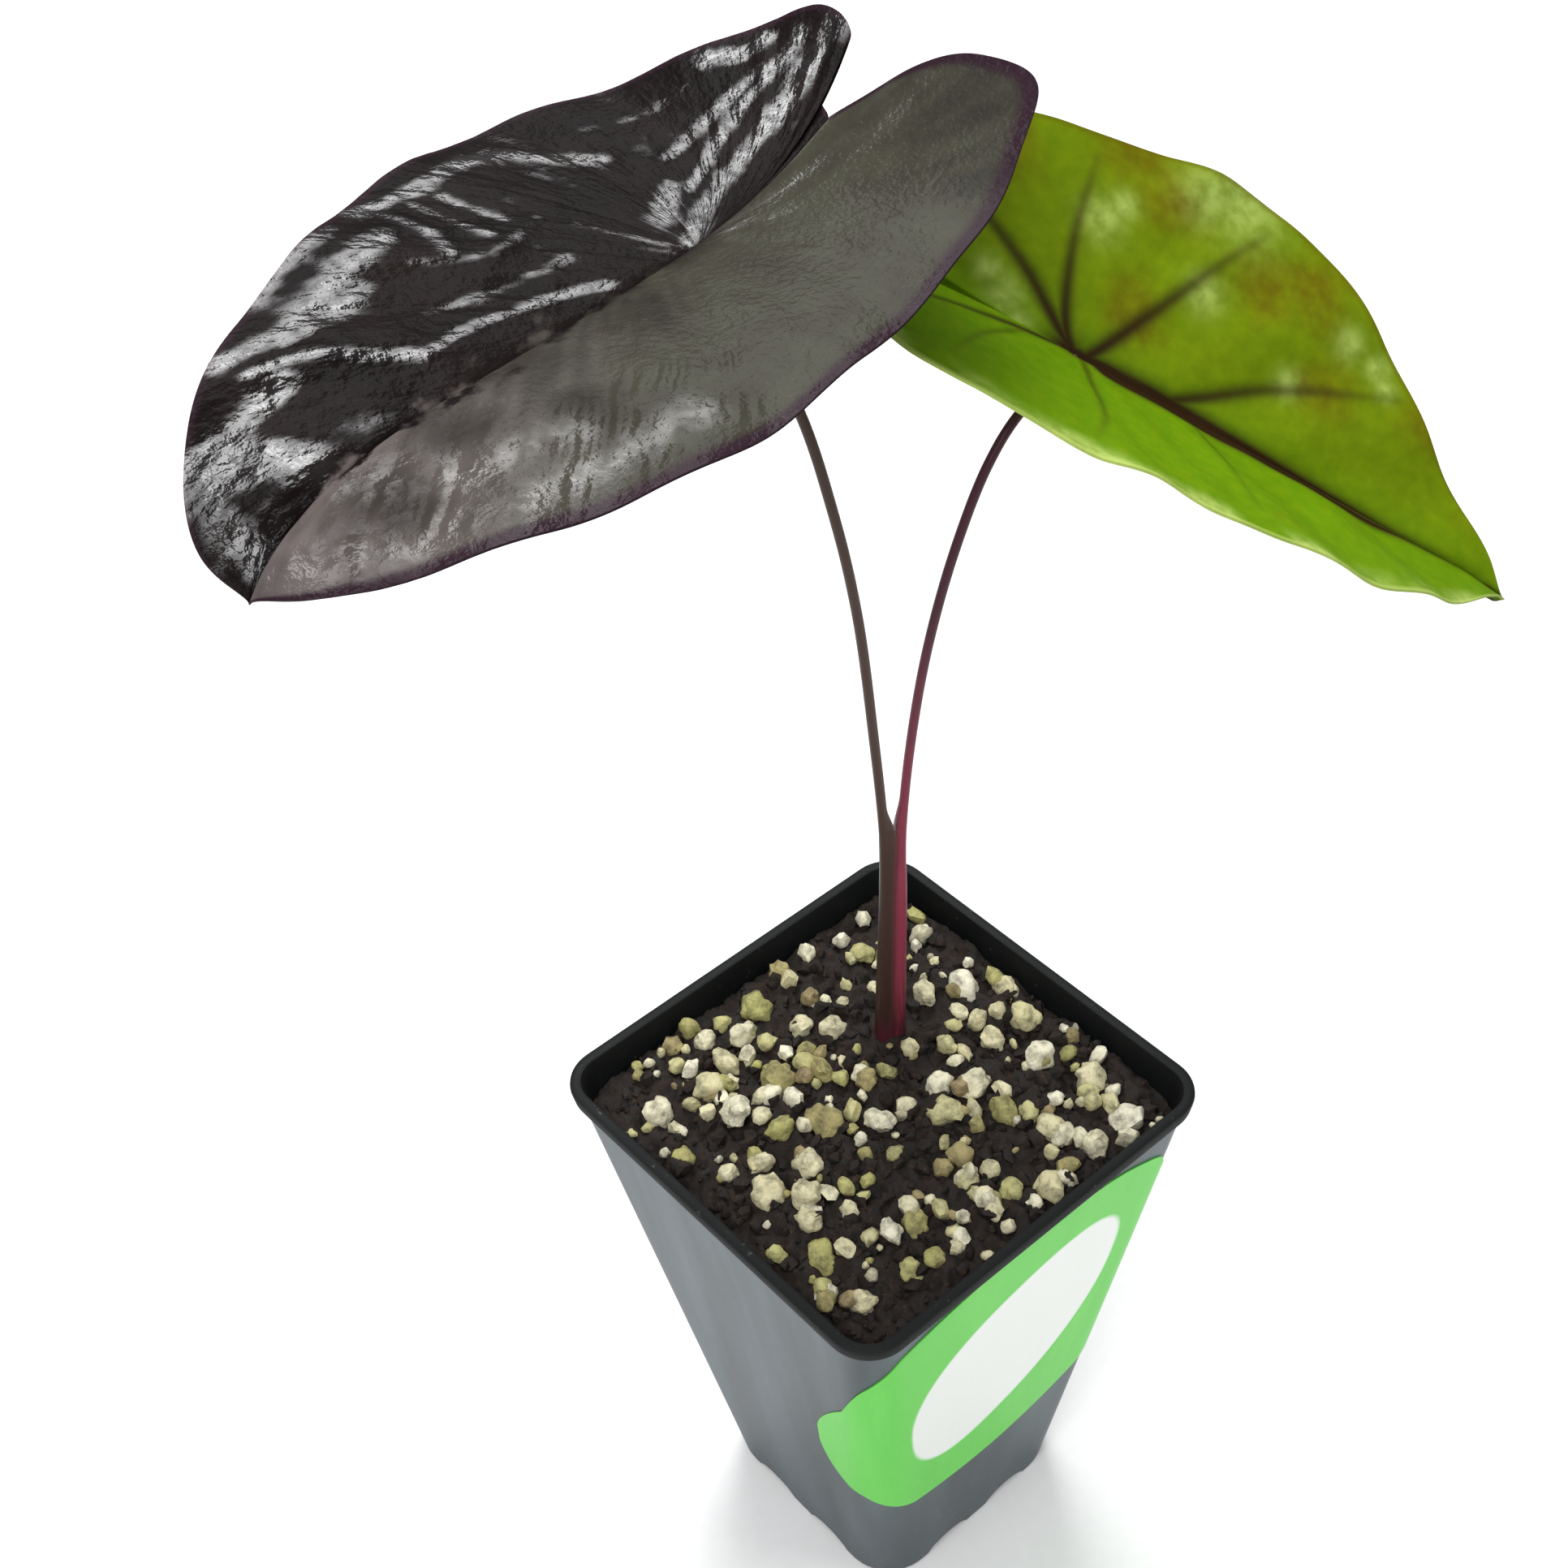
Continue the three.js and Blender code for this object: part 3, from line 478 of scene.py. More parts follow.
def fresh_green_leaf(colours):
    """Young living leaf: bright green, olive where it starts to darken, maroon along its veins, with soft
    painted highlights.
    """
    material, add, finish = shaded("fresh_green_leaf", IOR=1.42, Specular_IOR_Level=0.07)
    flat = add("UVMap", "flat")
    _, height, _ = add("SeparateXYZ", flat).outputs
    # the half that has had more light is yellower, with olive patches that wander a little
    upper = add("MapRange", "SMOOTHSTEP", height, 0.47, 0.6)
    halves = add("Mix", "RGBA", upper, colours.green_bright, colours.green_yellow)
    patches = add("TexNoise", flat, Scale=11, Detail=4, Roughness=0.6)
    lean = add("Math", "MULTIPLY_ADD", patches, 1.6, add("Attribute", "olive"))
    olive = add("MapRange", "SMOOTHSTEP", lean, 0.85, 2)
    skin = add("Mix", "RGBA", olive, halves, colours.green_olive)
    # fine mottling about 2 mm across, and soft pale patches that are painted highlights
    mottle = add("TexNoise", flat, Scale=45, Detail=3)
    flecks = add("MapRange", mottle, 0.35, 0.75, 0, 0.3)
    flecked = add("Mix", "RGBA", flecks, skin, colours.green_pale)
    painted_highlight_mask = add("Attribute", "pale")
    uneven = add("MapRange", mottle, 0.3, 0.6, 0.35)
    painted_highlight_skin = add("Mix", "RGBA", add("Math", "MULTIPLY", painted_highlight_mask, uneven), flecked, colours.green_pale_rim_and_painted_highlight)
    veined = add("Mix", "RGBA", add("Attribute", "vein"), painted_highlight_skin, colours.green_vein)
    # the margin is pale on the lower half and olive on the upper one
    rim = add("Math", "MULTIPLY", add("Attribute", "rim"), 0.6)
    edge = add("Mix", "RGBA", rim, veined, add(
        "Mix", "RGBA", upper, colours.green_pale_rim_and_painted_highlight, colours.green_olive))
    shine = add("MapRange", painted_highlight_mask, 0, 1, 0.62, 0.4)
    # cells of about 1.2 mm, as between the finest veins
    cells = add("TexVoronoi", flat, Scale=80)
    bump = add("Bump", 0.25, 0.12 * MM, Height=cells)
    finish({"Base Color": edge, "Roughness": shine, "Normal": bump})
    return material


def stalk_skin(name, colours):
    """Smooth wet-looking stalk skin, finely streaked: grey-brown on one side of the stem, else crimson."""
    material, add, finish = shaded(name, IOR=1.45, Roughness=0.42, Specular_IOR_Level=0.3)
    place = add("TexCoord").outputs["Object"]
    _, _, height = add("SeparateXYZ", place).outputs
    climb = add("MapRange", height, 90 * MM, 190 * MM)
    # how far a place is across the stem, so that the two halves blend where they join
    side, lean, base = (np.array(pair) for pair in (STEM_SIDE, STEM_LEAN, STEM_BASE))
    across = add("VectorMath", "DOT_PRODUCT", place, (*side, -side.dot(lean)))
    middle = side.dot(base) - STEM_BASE_HEIGHT * side.dot(lean)
    red_side = add("MapRange", "SMOOTHSTEP", across, (middle - 0.7) * MM, (middle + 0.9) * MM)
    # streaks 0.4 mm wide and a few centimetres long
    stretched = add("Mapping", place, Scale=(2500, 2500, 120))
    streaks = add("TexNoise", stretched, Scale=1, Detail=3)
    shift = add("Math", "SUBTRACT", add("Math", "MULTIPLY_ADD", streaks, 0.24, climb), 0.12)
    brown = add("ValToRGB", shift, stops=(
        (0, colours.stalk_foot), (0.06, colours.stalk_brown), (0.5, colours.stalk_grey)))
    red = add("ValToRGB", shift, stops=(
        (0.02, colours.stalk_foot), (0.13, colours.stalk_crimson), (0.34, colours.stalk_crimson),
        (0.75, colours.stalk_maroon)))
    blend = add("Mix", "RGBA", red_side, brown, red)
    bump = add("Bump", 0.3, 0.05 * MM, Height=streaks)
    finish({"Base Color": blend, "Normal": bump})
    return material


def moulded_pot_plastic(colours):
    """Thin vacuum-formed polystyrene: satin slate grey in painted bands of light and shade, with painted
    shade at the rolled rim, on the inner face and towards the foot, and dusty at the foot.
    """
    material, add, finish = shaded("moulded_pot_plastic", IOR=1.5, Specular_IOR_Level=0.22)
    place = add("TexCoord").outputs["Object"]
    _, _, height = add("SeparateXYZ", place).outputs
    # soft upright bands of painted light and shade, which also vary the roughness
    bands = add("TexNoise", add("Mapping", place, Scale=(110, 110, 6)), Scale=1, Detail=2)
    banding = add("MapRange", bands, 0.3, 0.72)
    painted_light_bands = add("Mix", "RGBA", banding, colours.pot_painted_shade_band, colours.pot_painted_light_band)
    # the rim and the inner face are painted dark as shade, and the outer face has painted shade that darkens
    # towards the foot
    rim = add("MapRange", "SMOOTHSTEP", height, 91 * MM, 92.2 * MM)
    dark = add("Math", "MAXIMUM", rim, add("Attribute", "inner"))
    painted_foot_shade = add("MapRange", height, 0, 60 * MM, 0.45, 0)
    outer = add("Mix", "RGBA", painted_foot_shade, painted_light_bands, colours.pot_foot_shade)
    lipped = add("Mix", "RGBA", dark, outer, colours.pot_rim_and_inner_shade)
    # specks of dry mix and dust, about 1 mm, thicker towards the foot
    specks = add("TexNoise", place, Scale=700, Detail=4, Roughness=0.65)
    low = add("MapRange", height, 0, 30 * MM, 0.06, 0)
    dusty = add("MapRange", add("Math", "ADD", specks, low), 0.66, 0.78, 0, 0.35)
    dusted = add("Mix", "RGBA", dusty, lipped, colours.pot_dust)
    uneven = add("MapRange", bands, 0, 1, 0.36, 0.52)
    worn = add("Math", "MULTIPLY_ADD", dark, 0.2, uneven)
    grain = add("TexNoise", place, Scale=2200, Detail=1)
    bump = add("Bump", 0.25, 0.04 * MM, Height=grain)
    finish({"Base Color": dusted, "Roughness": worn, "Normal": bump})
    return material


def coated_paper_sticker(colours):
    """Coated label stock: flat green ink with a bare white panel, and the faint waves of a damp sticker."""
    material, add, finish = shaded("coated_paper_sticker", IOR=1.5, Roughness=0.4, Specular_IOR_Level=0.3)
    wall = add("UVMap", "wall")
    place, height, _ = add("SeparateXYZ", wall).outputs
    across = add("MapRange", place, -0.07, 0.84)
    up = add("MapRange", height, 0.6, 0.79)
    across.clamp = up.clamp = False
    upright = add("Math", "MULTIPLY_ADD", across, -0.3, up)
    # the panel is a full oval: these powers of its two shares add up to one on its edge
    powers = [
        add("Math", "POWER", add("Math", "ABSOLUTE", share), 2.4) for share in (across, upright)]
    panel = add("MapRange", add("Math", "ADD", *powers), 0.96, 1.04, 1, 0)
    faded = add("TexNoise", wall, Scale=3, Detail=3)
    ink = add("Mix", "RGBA", faded, colours.sticker_green, colours.sticker_pale)
    printed = add("Mix", "RGBA", panel, ink, colours.sticker_white)
    waves = add("TexNoise", wall, Scale=7, Detail=2)
    bump = add("Bump", 0.5, 0.25 * MM, Height=waves)
    finish({"Base Color": printed, "Normal": bump})
    return material


def damp_potting_mix(colours):
    """Damp peat and bark fines: near-black with brown and rusty grains, dull but for wet glints."""
    material, add, finish = shaded("damp_potting_mix", IOR=1.4)
    place = add("TexCoord").outputs["Object"]
    grains = add("TexNoise", place, Scale=900, Detail=5, Roughness=0.7)
    earth = add("ValToRGB", grains, stops=(
        (0.35, colours.mix_dark), (0.58, colours.mix_brown), (0.74, colours.mix_rust)))
    wet = add("MapRange", grains, 0.35, 0.6, 0.55, 0.95)
    bump = add("Bump", 0.9, 0.35 * MM, Height=grains)
    finish({"Base Color": earth, "Roughness": wet, "Normal": bump})
    return material


def popped_perlite(colours):
    """Expanded volcanic glass: chalky cream-white grains with open pores, some stained by algae."""
    material, add, finish = shaded("popped_perlite", IOR=1.5, Roughness=0.85)
    place = add("TexCoord").outputs["Object"]
    stone = add("ValToRGB", add("Attribute", "tint"), stops=(
        (0, colours.perlite_white), (0.5, colours.perlite_cream), (0.75, colours.perlite_green),
        (1, colours.perlite_tan)))
    dirt = add("TexNoise", place, Scale=500, Detail=4, Roughness=0.65)
    stained = add("MapRange", dirt, 0.44, 0.74, 0, 0.85)
    dirty = add("Mix", "RGBA", stained, stone, colours.perlite_dirt)
    # pores of about 0.5 mm
    bump = add("Bump", 0.5, 0.2 * MM, Height=add("TexVoronoi", place, Scale=1800))
    finish({"Base Color": dirty, "Normal": bump})
    return material


def fibrous_corm(colours):
    """Dry brown rootstock skin, ringed and fibrous."""
    material, add, finish = shaded("fibrous_corm", IOR=1.45, Roughness=0.8)
    place = add("TexCoord").outputs["Object"]
    rings = add("TexWave", "Z", place, Scale=120, Distortion=6, Detail=3)
    skin = add("Mix", "RGBA", rings, colours.corm_dark, colours.corm_light)
    bump = add("Bump", 0.6, 0.3 * MM, Height=rings)
    finish({"Base Color": skin, "Normal": bump})
    return material


def pale_floor(colours):
    """Matte white studio card, with the faint tooth of paper."""
    material, add, finish = shaded("pale_studio_card", Roughness=0.9, Specular_IOR_Level=0.1)
    tooth = add("TexNoise", add("TexCoord").outputs["Object"], Scale=400)
    finish({"Base Color": add("Mix", "RGBA", tooth, colours.floor, colours.floor_tooth)})
    return material


# Pot


def wall_distance(z):
    return mix(POT_BOTTOM_WIDTH, POT_TOP_WIDTH, z / POT_HEIGHT) / 2


def corner_radius(z):
    return mix(POT_BOTTOM_CORNER, POT_TOP_CORNER, z / POT_HEIGHT)


def rounded_square(half_width, radius, z):
    """A ring of points round a rounded square, with the same number of points at every size."""
    ring = []
    straight = half_width - radius
    for corner in range(4):
        turn = Matrix.Rotation(corner * math.pi / 2, 3, "Z")
        for step in range(CORNER_STEPS + 1):
            angle = step / CORNER_STEPS * math.pi / 2
            ring.append(turn @ Vector((
                straight + radius * math.cos(angle), straight + radius * math.sin(angle), z)))
        for step in range(1, SIDE_STEPS):
            ring.append(turn @ Vector((mix(straight, -straight, step / SIDE_STEPS), half_width, z)))
    return ring


def past_straight(x, y, straight):
    """How far a place lies past the straight parts of the walls, towards a corner."""
    return math.hypot(max(0, abs(x) - straight), max(0, abs(y) - straight))


def wall_ring(z, offset):
    return rounded_square(wall_distance(z) + offset, corner_radius(z) + offset, z)


def wall_point(place, z, offset):
    """A point of the -Y wall and of the walls round its corners, by its place across the wall."""
    radius = corner_radius(z)
    straight = wall_distance(z) - radius
    away = abs(place)
    turn = np.clip(away - 1, 0, 1) * math.pi / 2
    across = np.clip(away, 0, 1) * straight + (radius + offset) * np.sin(turn)
    out = (1 - np.clip(away - 2, 0, 1)) * straight + (radius + offset) * np.cos(turn)
    return np.stack([np.sign(place) * across, -out, z + 0 * place], -1)


# Potting mix


def mix_height(x, y):
    reach = wall_distance(MIX_EDGE)
    heap = MIX_HEAP * (1 - (x / reach) ** 2) * (1 - (y / reach) ** 2)
    return MIX_EDGE + heap + sum(h * math.sin(a * x + b * y + p) for a, b, p, h in MIX_WAVES)


def crumb_height(x, y):
    """The crumbly top: clods of about 4 mm with grains of about 1.5 mm on them."""
    clods = noise.noise((x / 4.2, y / 4.2, 3.1)) * 1.0
    grains = noise.turbulence((x / 1.7, y / 1.7, 7.7), 3, False) * 0.9
    return mix_height(x, y) + clods + grains - 0.5


def square_to_pot(u, v, z=MIX_EDGE):
    """Maps a square from -1 to 1 to the rounded square that the mix fills at a height."""
    ring = max(abs(u), abs(v))
    if ring == 0:
        return 0.0, 0.0
    half = wall_distance(z) - MIX_GAP
    radius = corner_radius(z) - MIX_GAP
    straight = half - radius
    x, y = abs(u) / ring * half, abs(v) / ring * half
    if x > straight and y > straight:
        away = Vector((x - straight, y - straight))
        turn = math.pi / 4 * (1 + (away.y - away.x) / max(away.x, away.y))
        x, y = straight + radius * math.cos(turn), straight + radius * math.sin(turn)
    return math.copysign(x * ring, u), math.copysign(y * ring, v)


def perlite_places():
    """The same seeded lumps as in the solid: kept apart, and thinned near the front corner."""
    draw = seeded_draw(LUMP_SEED)
    lumps = []
    reach = wall_distance(MIX_EDGE) - MIX_GAP
    while len(lumps) < PERLITE_LUMPS:
        radius = mix(*PERLITE_RADII, next(draw) ** 1.4)
        room = reach - radius * 1.2
        x = mix(-room, room, next(draw))
        y = mix(-room, room, next(draw))
        thinned = math.hypot(x + 22, y + 22) < 17 * next(draw)
        clear = all(math.hypot(x - a, y - b) > 0.78 * (radius + c) for a, b, c in lumps)
        in_pot = past_straight(x, y, room - 5) < 5
        off_stem = math.hypot(x - STEM_BASE[0], y - STEM_BASE[1]) > HALF_SPACING + 2.1 + radius
        if clear and in_pot and not thinned and off_stem:
            lumps.append((x, y, radius))
            # the solid draws twice more for each lump
            next(draw)
            next(draw)
    return lumps


def scattered(draw, count, smallest, largest, bias):
    """Seeded places for small grains all over the mix, off the stem."""
    reach = wall_distance(MIX_EDGE) - MIX_GAP
    found = []
    while len(found) < count:
        radius = mix(smallest, largest, next(draw) ** bias)
        x = mix(-1, 1, next(draw)) * (reach - radius)
        y = mix(-1, 1, next(draw)) * (reach - radius)
        in_pot = past_straight(x, y, reach - 5) < 5 - radius
        if in_pot and math.hypot(x - STEM_BASE[0], y - STEM_BASE[1]) > 2.6 + radius:
            found.append((x, y, radius))
    return found


def add_grain(bm, layer, place, shape, tint, subdivisions):
    """One irregular grain: a small ball, stretched, turned and pushed in and out by noise."""
    x, y, z, radius = place
    stretch, turn, rough = shape
    made = bmesh.ops.create_icosphere(bm, subdivisions=subdivisions, radius=1)
    offset = Vector((x, y, radius)) * 3.7
    lying = (Matrix.Translation((x, y, z))
             @ Matrix.Rotation(turn[0], 4, "X") @ Matrix.Rotation(turn[1], 4, "Z")
             @ Matrix.Diagonal((radius, radius * stretch, radius / stretch, 1)))
    for vert in made["verts"]:
        vert.co = lying @ (vert.co * (1 + rough * noise.noise(vert.co * 1.6 + offset)))
        vert[layer] = tint


# Leaf stalks


def at_share(line, length, share):
    """The place on a dense line at a share of its length, with one row of numbers for each axis."""
    return np.array([np.interp(share, length, axis) for axis in line.T])


def smooth_path(points, per_span=40):
    """Centripetal Catmull-Rom curve through points, as a dense line with its shares of length."""
    p = np.array(points, float)
    p = np.vstack([2 * p[0] - p[1], p, 2 * p[-1] - p[-2]])
    t = np.linspace(0, 1, per_span, endpoint=False)[:, None]
    spans = []
    for a, b, c, d in zip(p, p[1:], p[2:], p[3:]):
        before, within, after = (max(1e-4, np.sum((m - n) ** 2) ** 0.25) for m, n in ((b, a), (c, b), (d, c)))
        start = ((b - a) / before - (c - a) / (before + within) + (c - b) / within) * within
        end = ((c - b) / within - (d - b) / (within + after) + (d - c) / after) * within
        squared, cubed = 3 * (c - b) - 2 * start - end, 2 * (b - c) + start + end
        spans.append(b + start * t + squared * t ** 2 + cubed * t ** 3)
    line = np.vstack([*spans, p[-2:-1]])
    length = np.concatenate([[0], np.cumsum(np.linalg.norm(np.diff(line, axis=0), axis=1))])
    return line, length / length[-1]


def stem_axis(z):
    rise = z - STEM_BASE_HEIGHT
    return np.array([STEM_BASE[0] + STEM_LEAN[0] * rise, STEM_BASE[1] + STEM_LEAN[1] * rise, z])


def stalk_rings(stalk, leaf, steps=150, sides=28):
    """Rings along a stalk: half an oval in the sheath, round above the fork, flared under the blade."""
    outward = np.array([*STEM_SIDE, 0.0]) * stalk["towards"]
    outward /= np.linalg.norm(outward)
    normal = leaf_axes(leaf)[2]
    points = [stem_axis(z) + outward * HALF_SPACING for z in SHEATH_HEIGHTS]
    points += [np.array(p) for p in stalk["path"]]
    points.append(np.array(leaf["junction"]) - normal * 0.7)
    line, length = smooth_path(points)
    side = outward
    rings = []
    for step in range(steps + 1):
        share = step / steps
        behind, centre, ahead = (
            at_share(line, length, s) for s in (max(0, share - 0.004), share, min(1, share + 0.004)))
        tangent = (ahead - behind) / np.linalg.norm(ahead - behind)
        side = side - tangent * side.dot(tangent)
        side /= np.linalg.norm(side)
        depth = np.cross(tangent, side)
        sheath = max(0, 1 - share / 0.38) ** 0.7
        flare = smooth_step(0.95, 1, share)
        round_radius = stalk["radius"] * mix(1, 1.7, float(flare))
        wide, deep = (mix(round_radius, reach, sheath) for reach in stalk["sheath"])
        pressed = 1 - float(smooth_step(FORK_HEIGHT - 3.5, FORK_HEIGHT + 2.5, centre[2]))
        ring = []
        for i in range(sides):
            angle = 2 * math.pi * i / sides
            point = centre + side * wide * math.cos(angle) + depth * deep * math.sin(angle)
            if math.cos(angle) < 0:
                short = 0.02 - (point - stem_axis(point[2])).dot(outward)
                point = point + outward * short * pressed
            ring.append(Vector(point))
        rings.append(ring)
    return rings


# Blades


def leaf_axes(leaf):
    """The leaf's own axes at the stalk: along the midrib, across it, and out of the upper face."""
    heading, dip, roll = (math.radians(leaf[key]) for key in ("heading", "dip", "roll"))
    along = np.array([math.cos(heading) * math.cos(dip), math.sin(heading) * math.cos(dip), -math.sin(dip)])
    level = np.array([-math.sin(heading), math.cos(heading), 0])
    up = np.cross(along, level)
    return np.array([
        along, level * math.cos(roll) + up * math.sin(roll), -level * math.sin(roll) + up * math.cos(roll)])


def flat_places(leaf, share, side):
    """Points of the flat leaf: share runs from the tip to the notch, side from margin to margin."""
    out = np.abs(side)
    points = np.zeros((len(share), 2))
    for half, sign in (("left", 1), ("right", -1)):
        picked = side >= 0 if sign > 0 else side < 0
        s, o = share[picked], out[picked][:, None]
        line, length = smooth_path(leaf[half]["margin"])
        end = at_share(line, length, s).T
        start = np.stack([leaf[half]["margin"][0][0] * np.maximum(0, 1 - s / 0.42) ** 1.9, 0 * s], -1)
        chord = end - start
        bow = 0.12 * np.sin(math.pi * s) * sign
        control = (start + end) / 2 + np.stack([-bow * chord[:, 1], bow * chord[:, 0]], -1)
        points[picked] = (1 - o) ** 2 * start + 2 * o * (1 - o) * control + o ** 2 * end
    return points


def vein_spread(leaf, share, side, step=0.002):
    """How far apart the lines of the grid run in the flat leaf, as a share of their widest spacing."""
    out = np.clip(side, -1 + step, 1 - step)
    along_margin = (flat_places(leaf, np.minimum(1, share + step), side)
                    - flat_places(leaf, np.maximum(0, share - step), side)) / (2 * step)
    along_vein = flat_places(leaf, share, out + step) - flat_places(leaf, share, out - step)
    along_vein /= np.maximum(1e-9, np.linalg.norm(along_vein, axis=1, keepdims=True))
    apart = np.abs(along_margin[:, 0] * along_vein[:, 1] - along_margin[:, 1] * along_vein[:, 0])
    return np.clip(apart / FULL_SPREAD, 0, 1)


def pitch_at(leaf, x):
    forward = leaf["arch"] * x + leaf["tip_droop"] * (np.maximum(x, 0) / 80) ** 5
    return np.where(x < 0, leaf["back_arch"] * x, forward)


def bent(leaf, x, y):
    """Bends points of the flat leaf: folded along the midrib, curled across, arched and twisted."""
    left = y >= 0
    fold = np.radians(np.where(left, leaf["left"]["fold"], leaf["right"]["fold"]))
    curl = np.where(left, leaf["left"]["curl"], leaf["right"]["curl"])
    out = np.hypot(y, 2) - 2
    across = (np.sin(fold) - np.sin(fold - curl * out)) / curl * np.where(left, 1, -1)
    rise = (np.cos(fold - curl * out) - np.cos(fold)) / curl
    cos, sin = np.cos(leaf["twist"] * x), np.sin(leaf["twist"] * x)
    across, rise = across * cos - rise * sin, across * sin + rise * cos
    # the pitch adds up from the stalk to each point, in 24 steps
    pitches = pitch_at(leaf, x[:, None] * (np.arange(24) + 0.5) / 24)
    pitch = pitch_at(leaf, x)
    local = np.stack([
        np.cos(pitches).mean(1) * x + rise * np.sin(pitch), across,
        -np.sin(pitches).mean(1) * x + rise * np.cos(pitch)], -1)
    return local @ leaf_axes(leaf) + np.array(leaf["junction"])


def bent_normals(leaf, x, y, reach=0.5):
    along = bent(leaf, x + reach, y) - bent(leaf, x - reach, y)
    across = bent(leaf, x, y + reach) - bent(leaf, x, y - reach)
    normal = np.cross(along, across)
    return normal / np.linalg.norm(normal, axis=1, keepdims=True)


def vein_lines(leaf):
    """The black leaf's veins: the midrib, and a side vein to each vein place of both margins."""
    tip = leaf["left"]["margin"][0]
    lines = [(((0, 0), (tip[0] * 0.25, 0), (tip[0] * 0.5, 0), tip), 2.0, 0.8, 1.0)]
    outs = np.linspace(0, 0.97, 14)
    for sign in (1, -1):
        for place in VEIN_PLACES[1:-1]:
            points = flat_places(leaf, np.full(14, place), outs * sign)
            lines.append((points, 0.75, 0.35, 0.8))
    return lines


def line_field(lines, points, fading=0.75):
    """How near each point of the flat leaf is to any line, from 0 to 1, and to the first one alone."""
    field = np.zeros(len(points))
    for index, (line, start, end, strength) in enumerate(lines):
        dense, length = smooth_path([(*p[:2], 0.0) for p in line], 6)
        nearest = np.full(len(points), 1e9)
        place = np.zeros(len(points))
        for a, b, share, step in zip(dense[:, :2], dense[1:, :2], length, np.diff(length)):
            along = np.clip((points - a) @ (b - a) / np.sum((b - a) ** 2), 0, 1)
            distance = np.linalg.norm(points - a - along[:, None] * (b - a), axis=1)
            closer = distance < nearest
            nearest[closer] = distance[closer]
            place[closer] = share + step * along[closer]
        near = strength * (1 - fading * place ** 2) * np.exp(-((nearest / mix(start, end, place)) ** 2))
        field = np.maximum(field, near)
        if index == 0:
            first = near
    return np.minimum(field, 1), first


def noise_field(points, scale, depth):
    """Smooth noise from -1 to 1 over points of two numbers, with a scale for each."""
    return np.array([noise.noise((a / scale[0], b / scale[1], depth)) for a, b in points])


def swells(share, out):
    """The blade's swelling between its side veins, the same as in the solid."""
    phase = np.zeros(len(share))
    for low, high in zip(VEIN_PLACES, VEIN_PLACES[1:]):
        inside = (share >= low) & (share <= high)
        phase[inside] = (share[inside] - low) / (high - low)
    return np.sin(math.pi * phase) ** 2 * np.sin(math.pi * 0.9 * out)


def along_veins(share, side):
    """Places for a pattern that runs with the veins, in about the leaf's millimetres."""
    return np.stack([share * MARGIN_LENGTH, np.abs(side) * VEIN_LENGTH], -1)


def spots(flat, places):
    """Soft round spots in the flat leaf, each given by x, y and reach, from 0 to 1."""
    return np.max([
        np.exp(-((flat[:, 0] - x) ** 2 + (flat[:, 1] - y) ** 2) / reach ** 2) for x, y, reach in places], 0)


def ends(share):
    """Fades a relief out at the tip and along the notch, where the halves of the grid meet."""
    return smooth_step(0, 0.04, share) * smooth_step(1, 0.96, share)


def rippled(leaf, share, out):
    """The wide ripples of a blade's margin."""
    return leaf["ripple"] * out ** 3 * np.sin(2 * math.pi * RIPPLES * share)


def open_skin(share, out, spread):
    """Where the skin is free to buckle: away from the midrib, the margin and the leaf's ends."""
    return np.sin(math.pi * 0.92 * out) * ends(share) * spread


def black_polish(share, side, flat):
    """How polished the black leaf's wax is, from 0 to 1: in torn glints on one half, faintly on the other."""
    glint = line_field(GLINTS, flat, 0)[0]
    torn = (0.35 * noise_field(flat, (5.2, 5.2), 30.7)
            + 0.55 * noise_field(along_veins(share, side), (2.0, 8.0), 21.4)
            + 0.25 * noise_field(flat, (1.1, 1.1), 3.3))
    pitted = 1 - 0.45 * smooth_step(-0.1, 0.35, noise_field(flat, (1.2, 1.2), 12.9))
    patches = smooth_step(0.28, 0.72, 1.2 * glint + torn * (1 - 0.45 * glint))
    glossy = 0.015 + (0.25 + 0.55 * glint) * pitted * patches
    satin = 0.06 + 0.8 * glint * pitted * smooth_step(-0.45, 0.3, torn)
    satin = satin * (1 - 0.7 * spots(flat, DULL_AND_SHADED_SPOTS))
    return mix(glossy, satin, smooth_step(-0.02, 0.05, side))


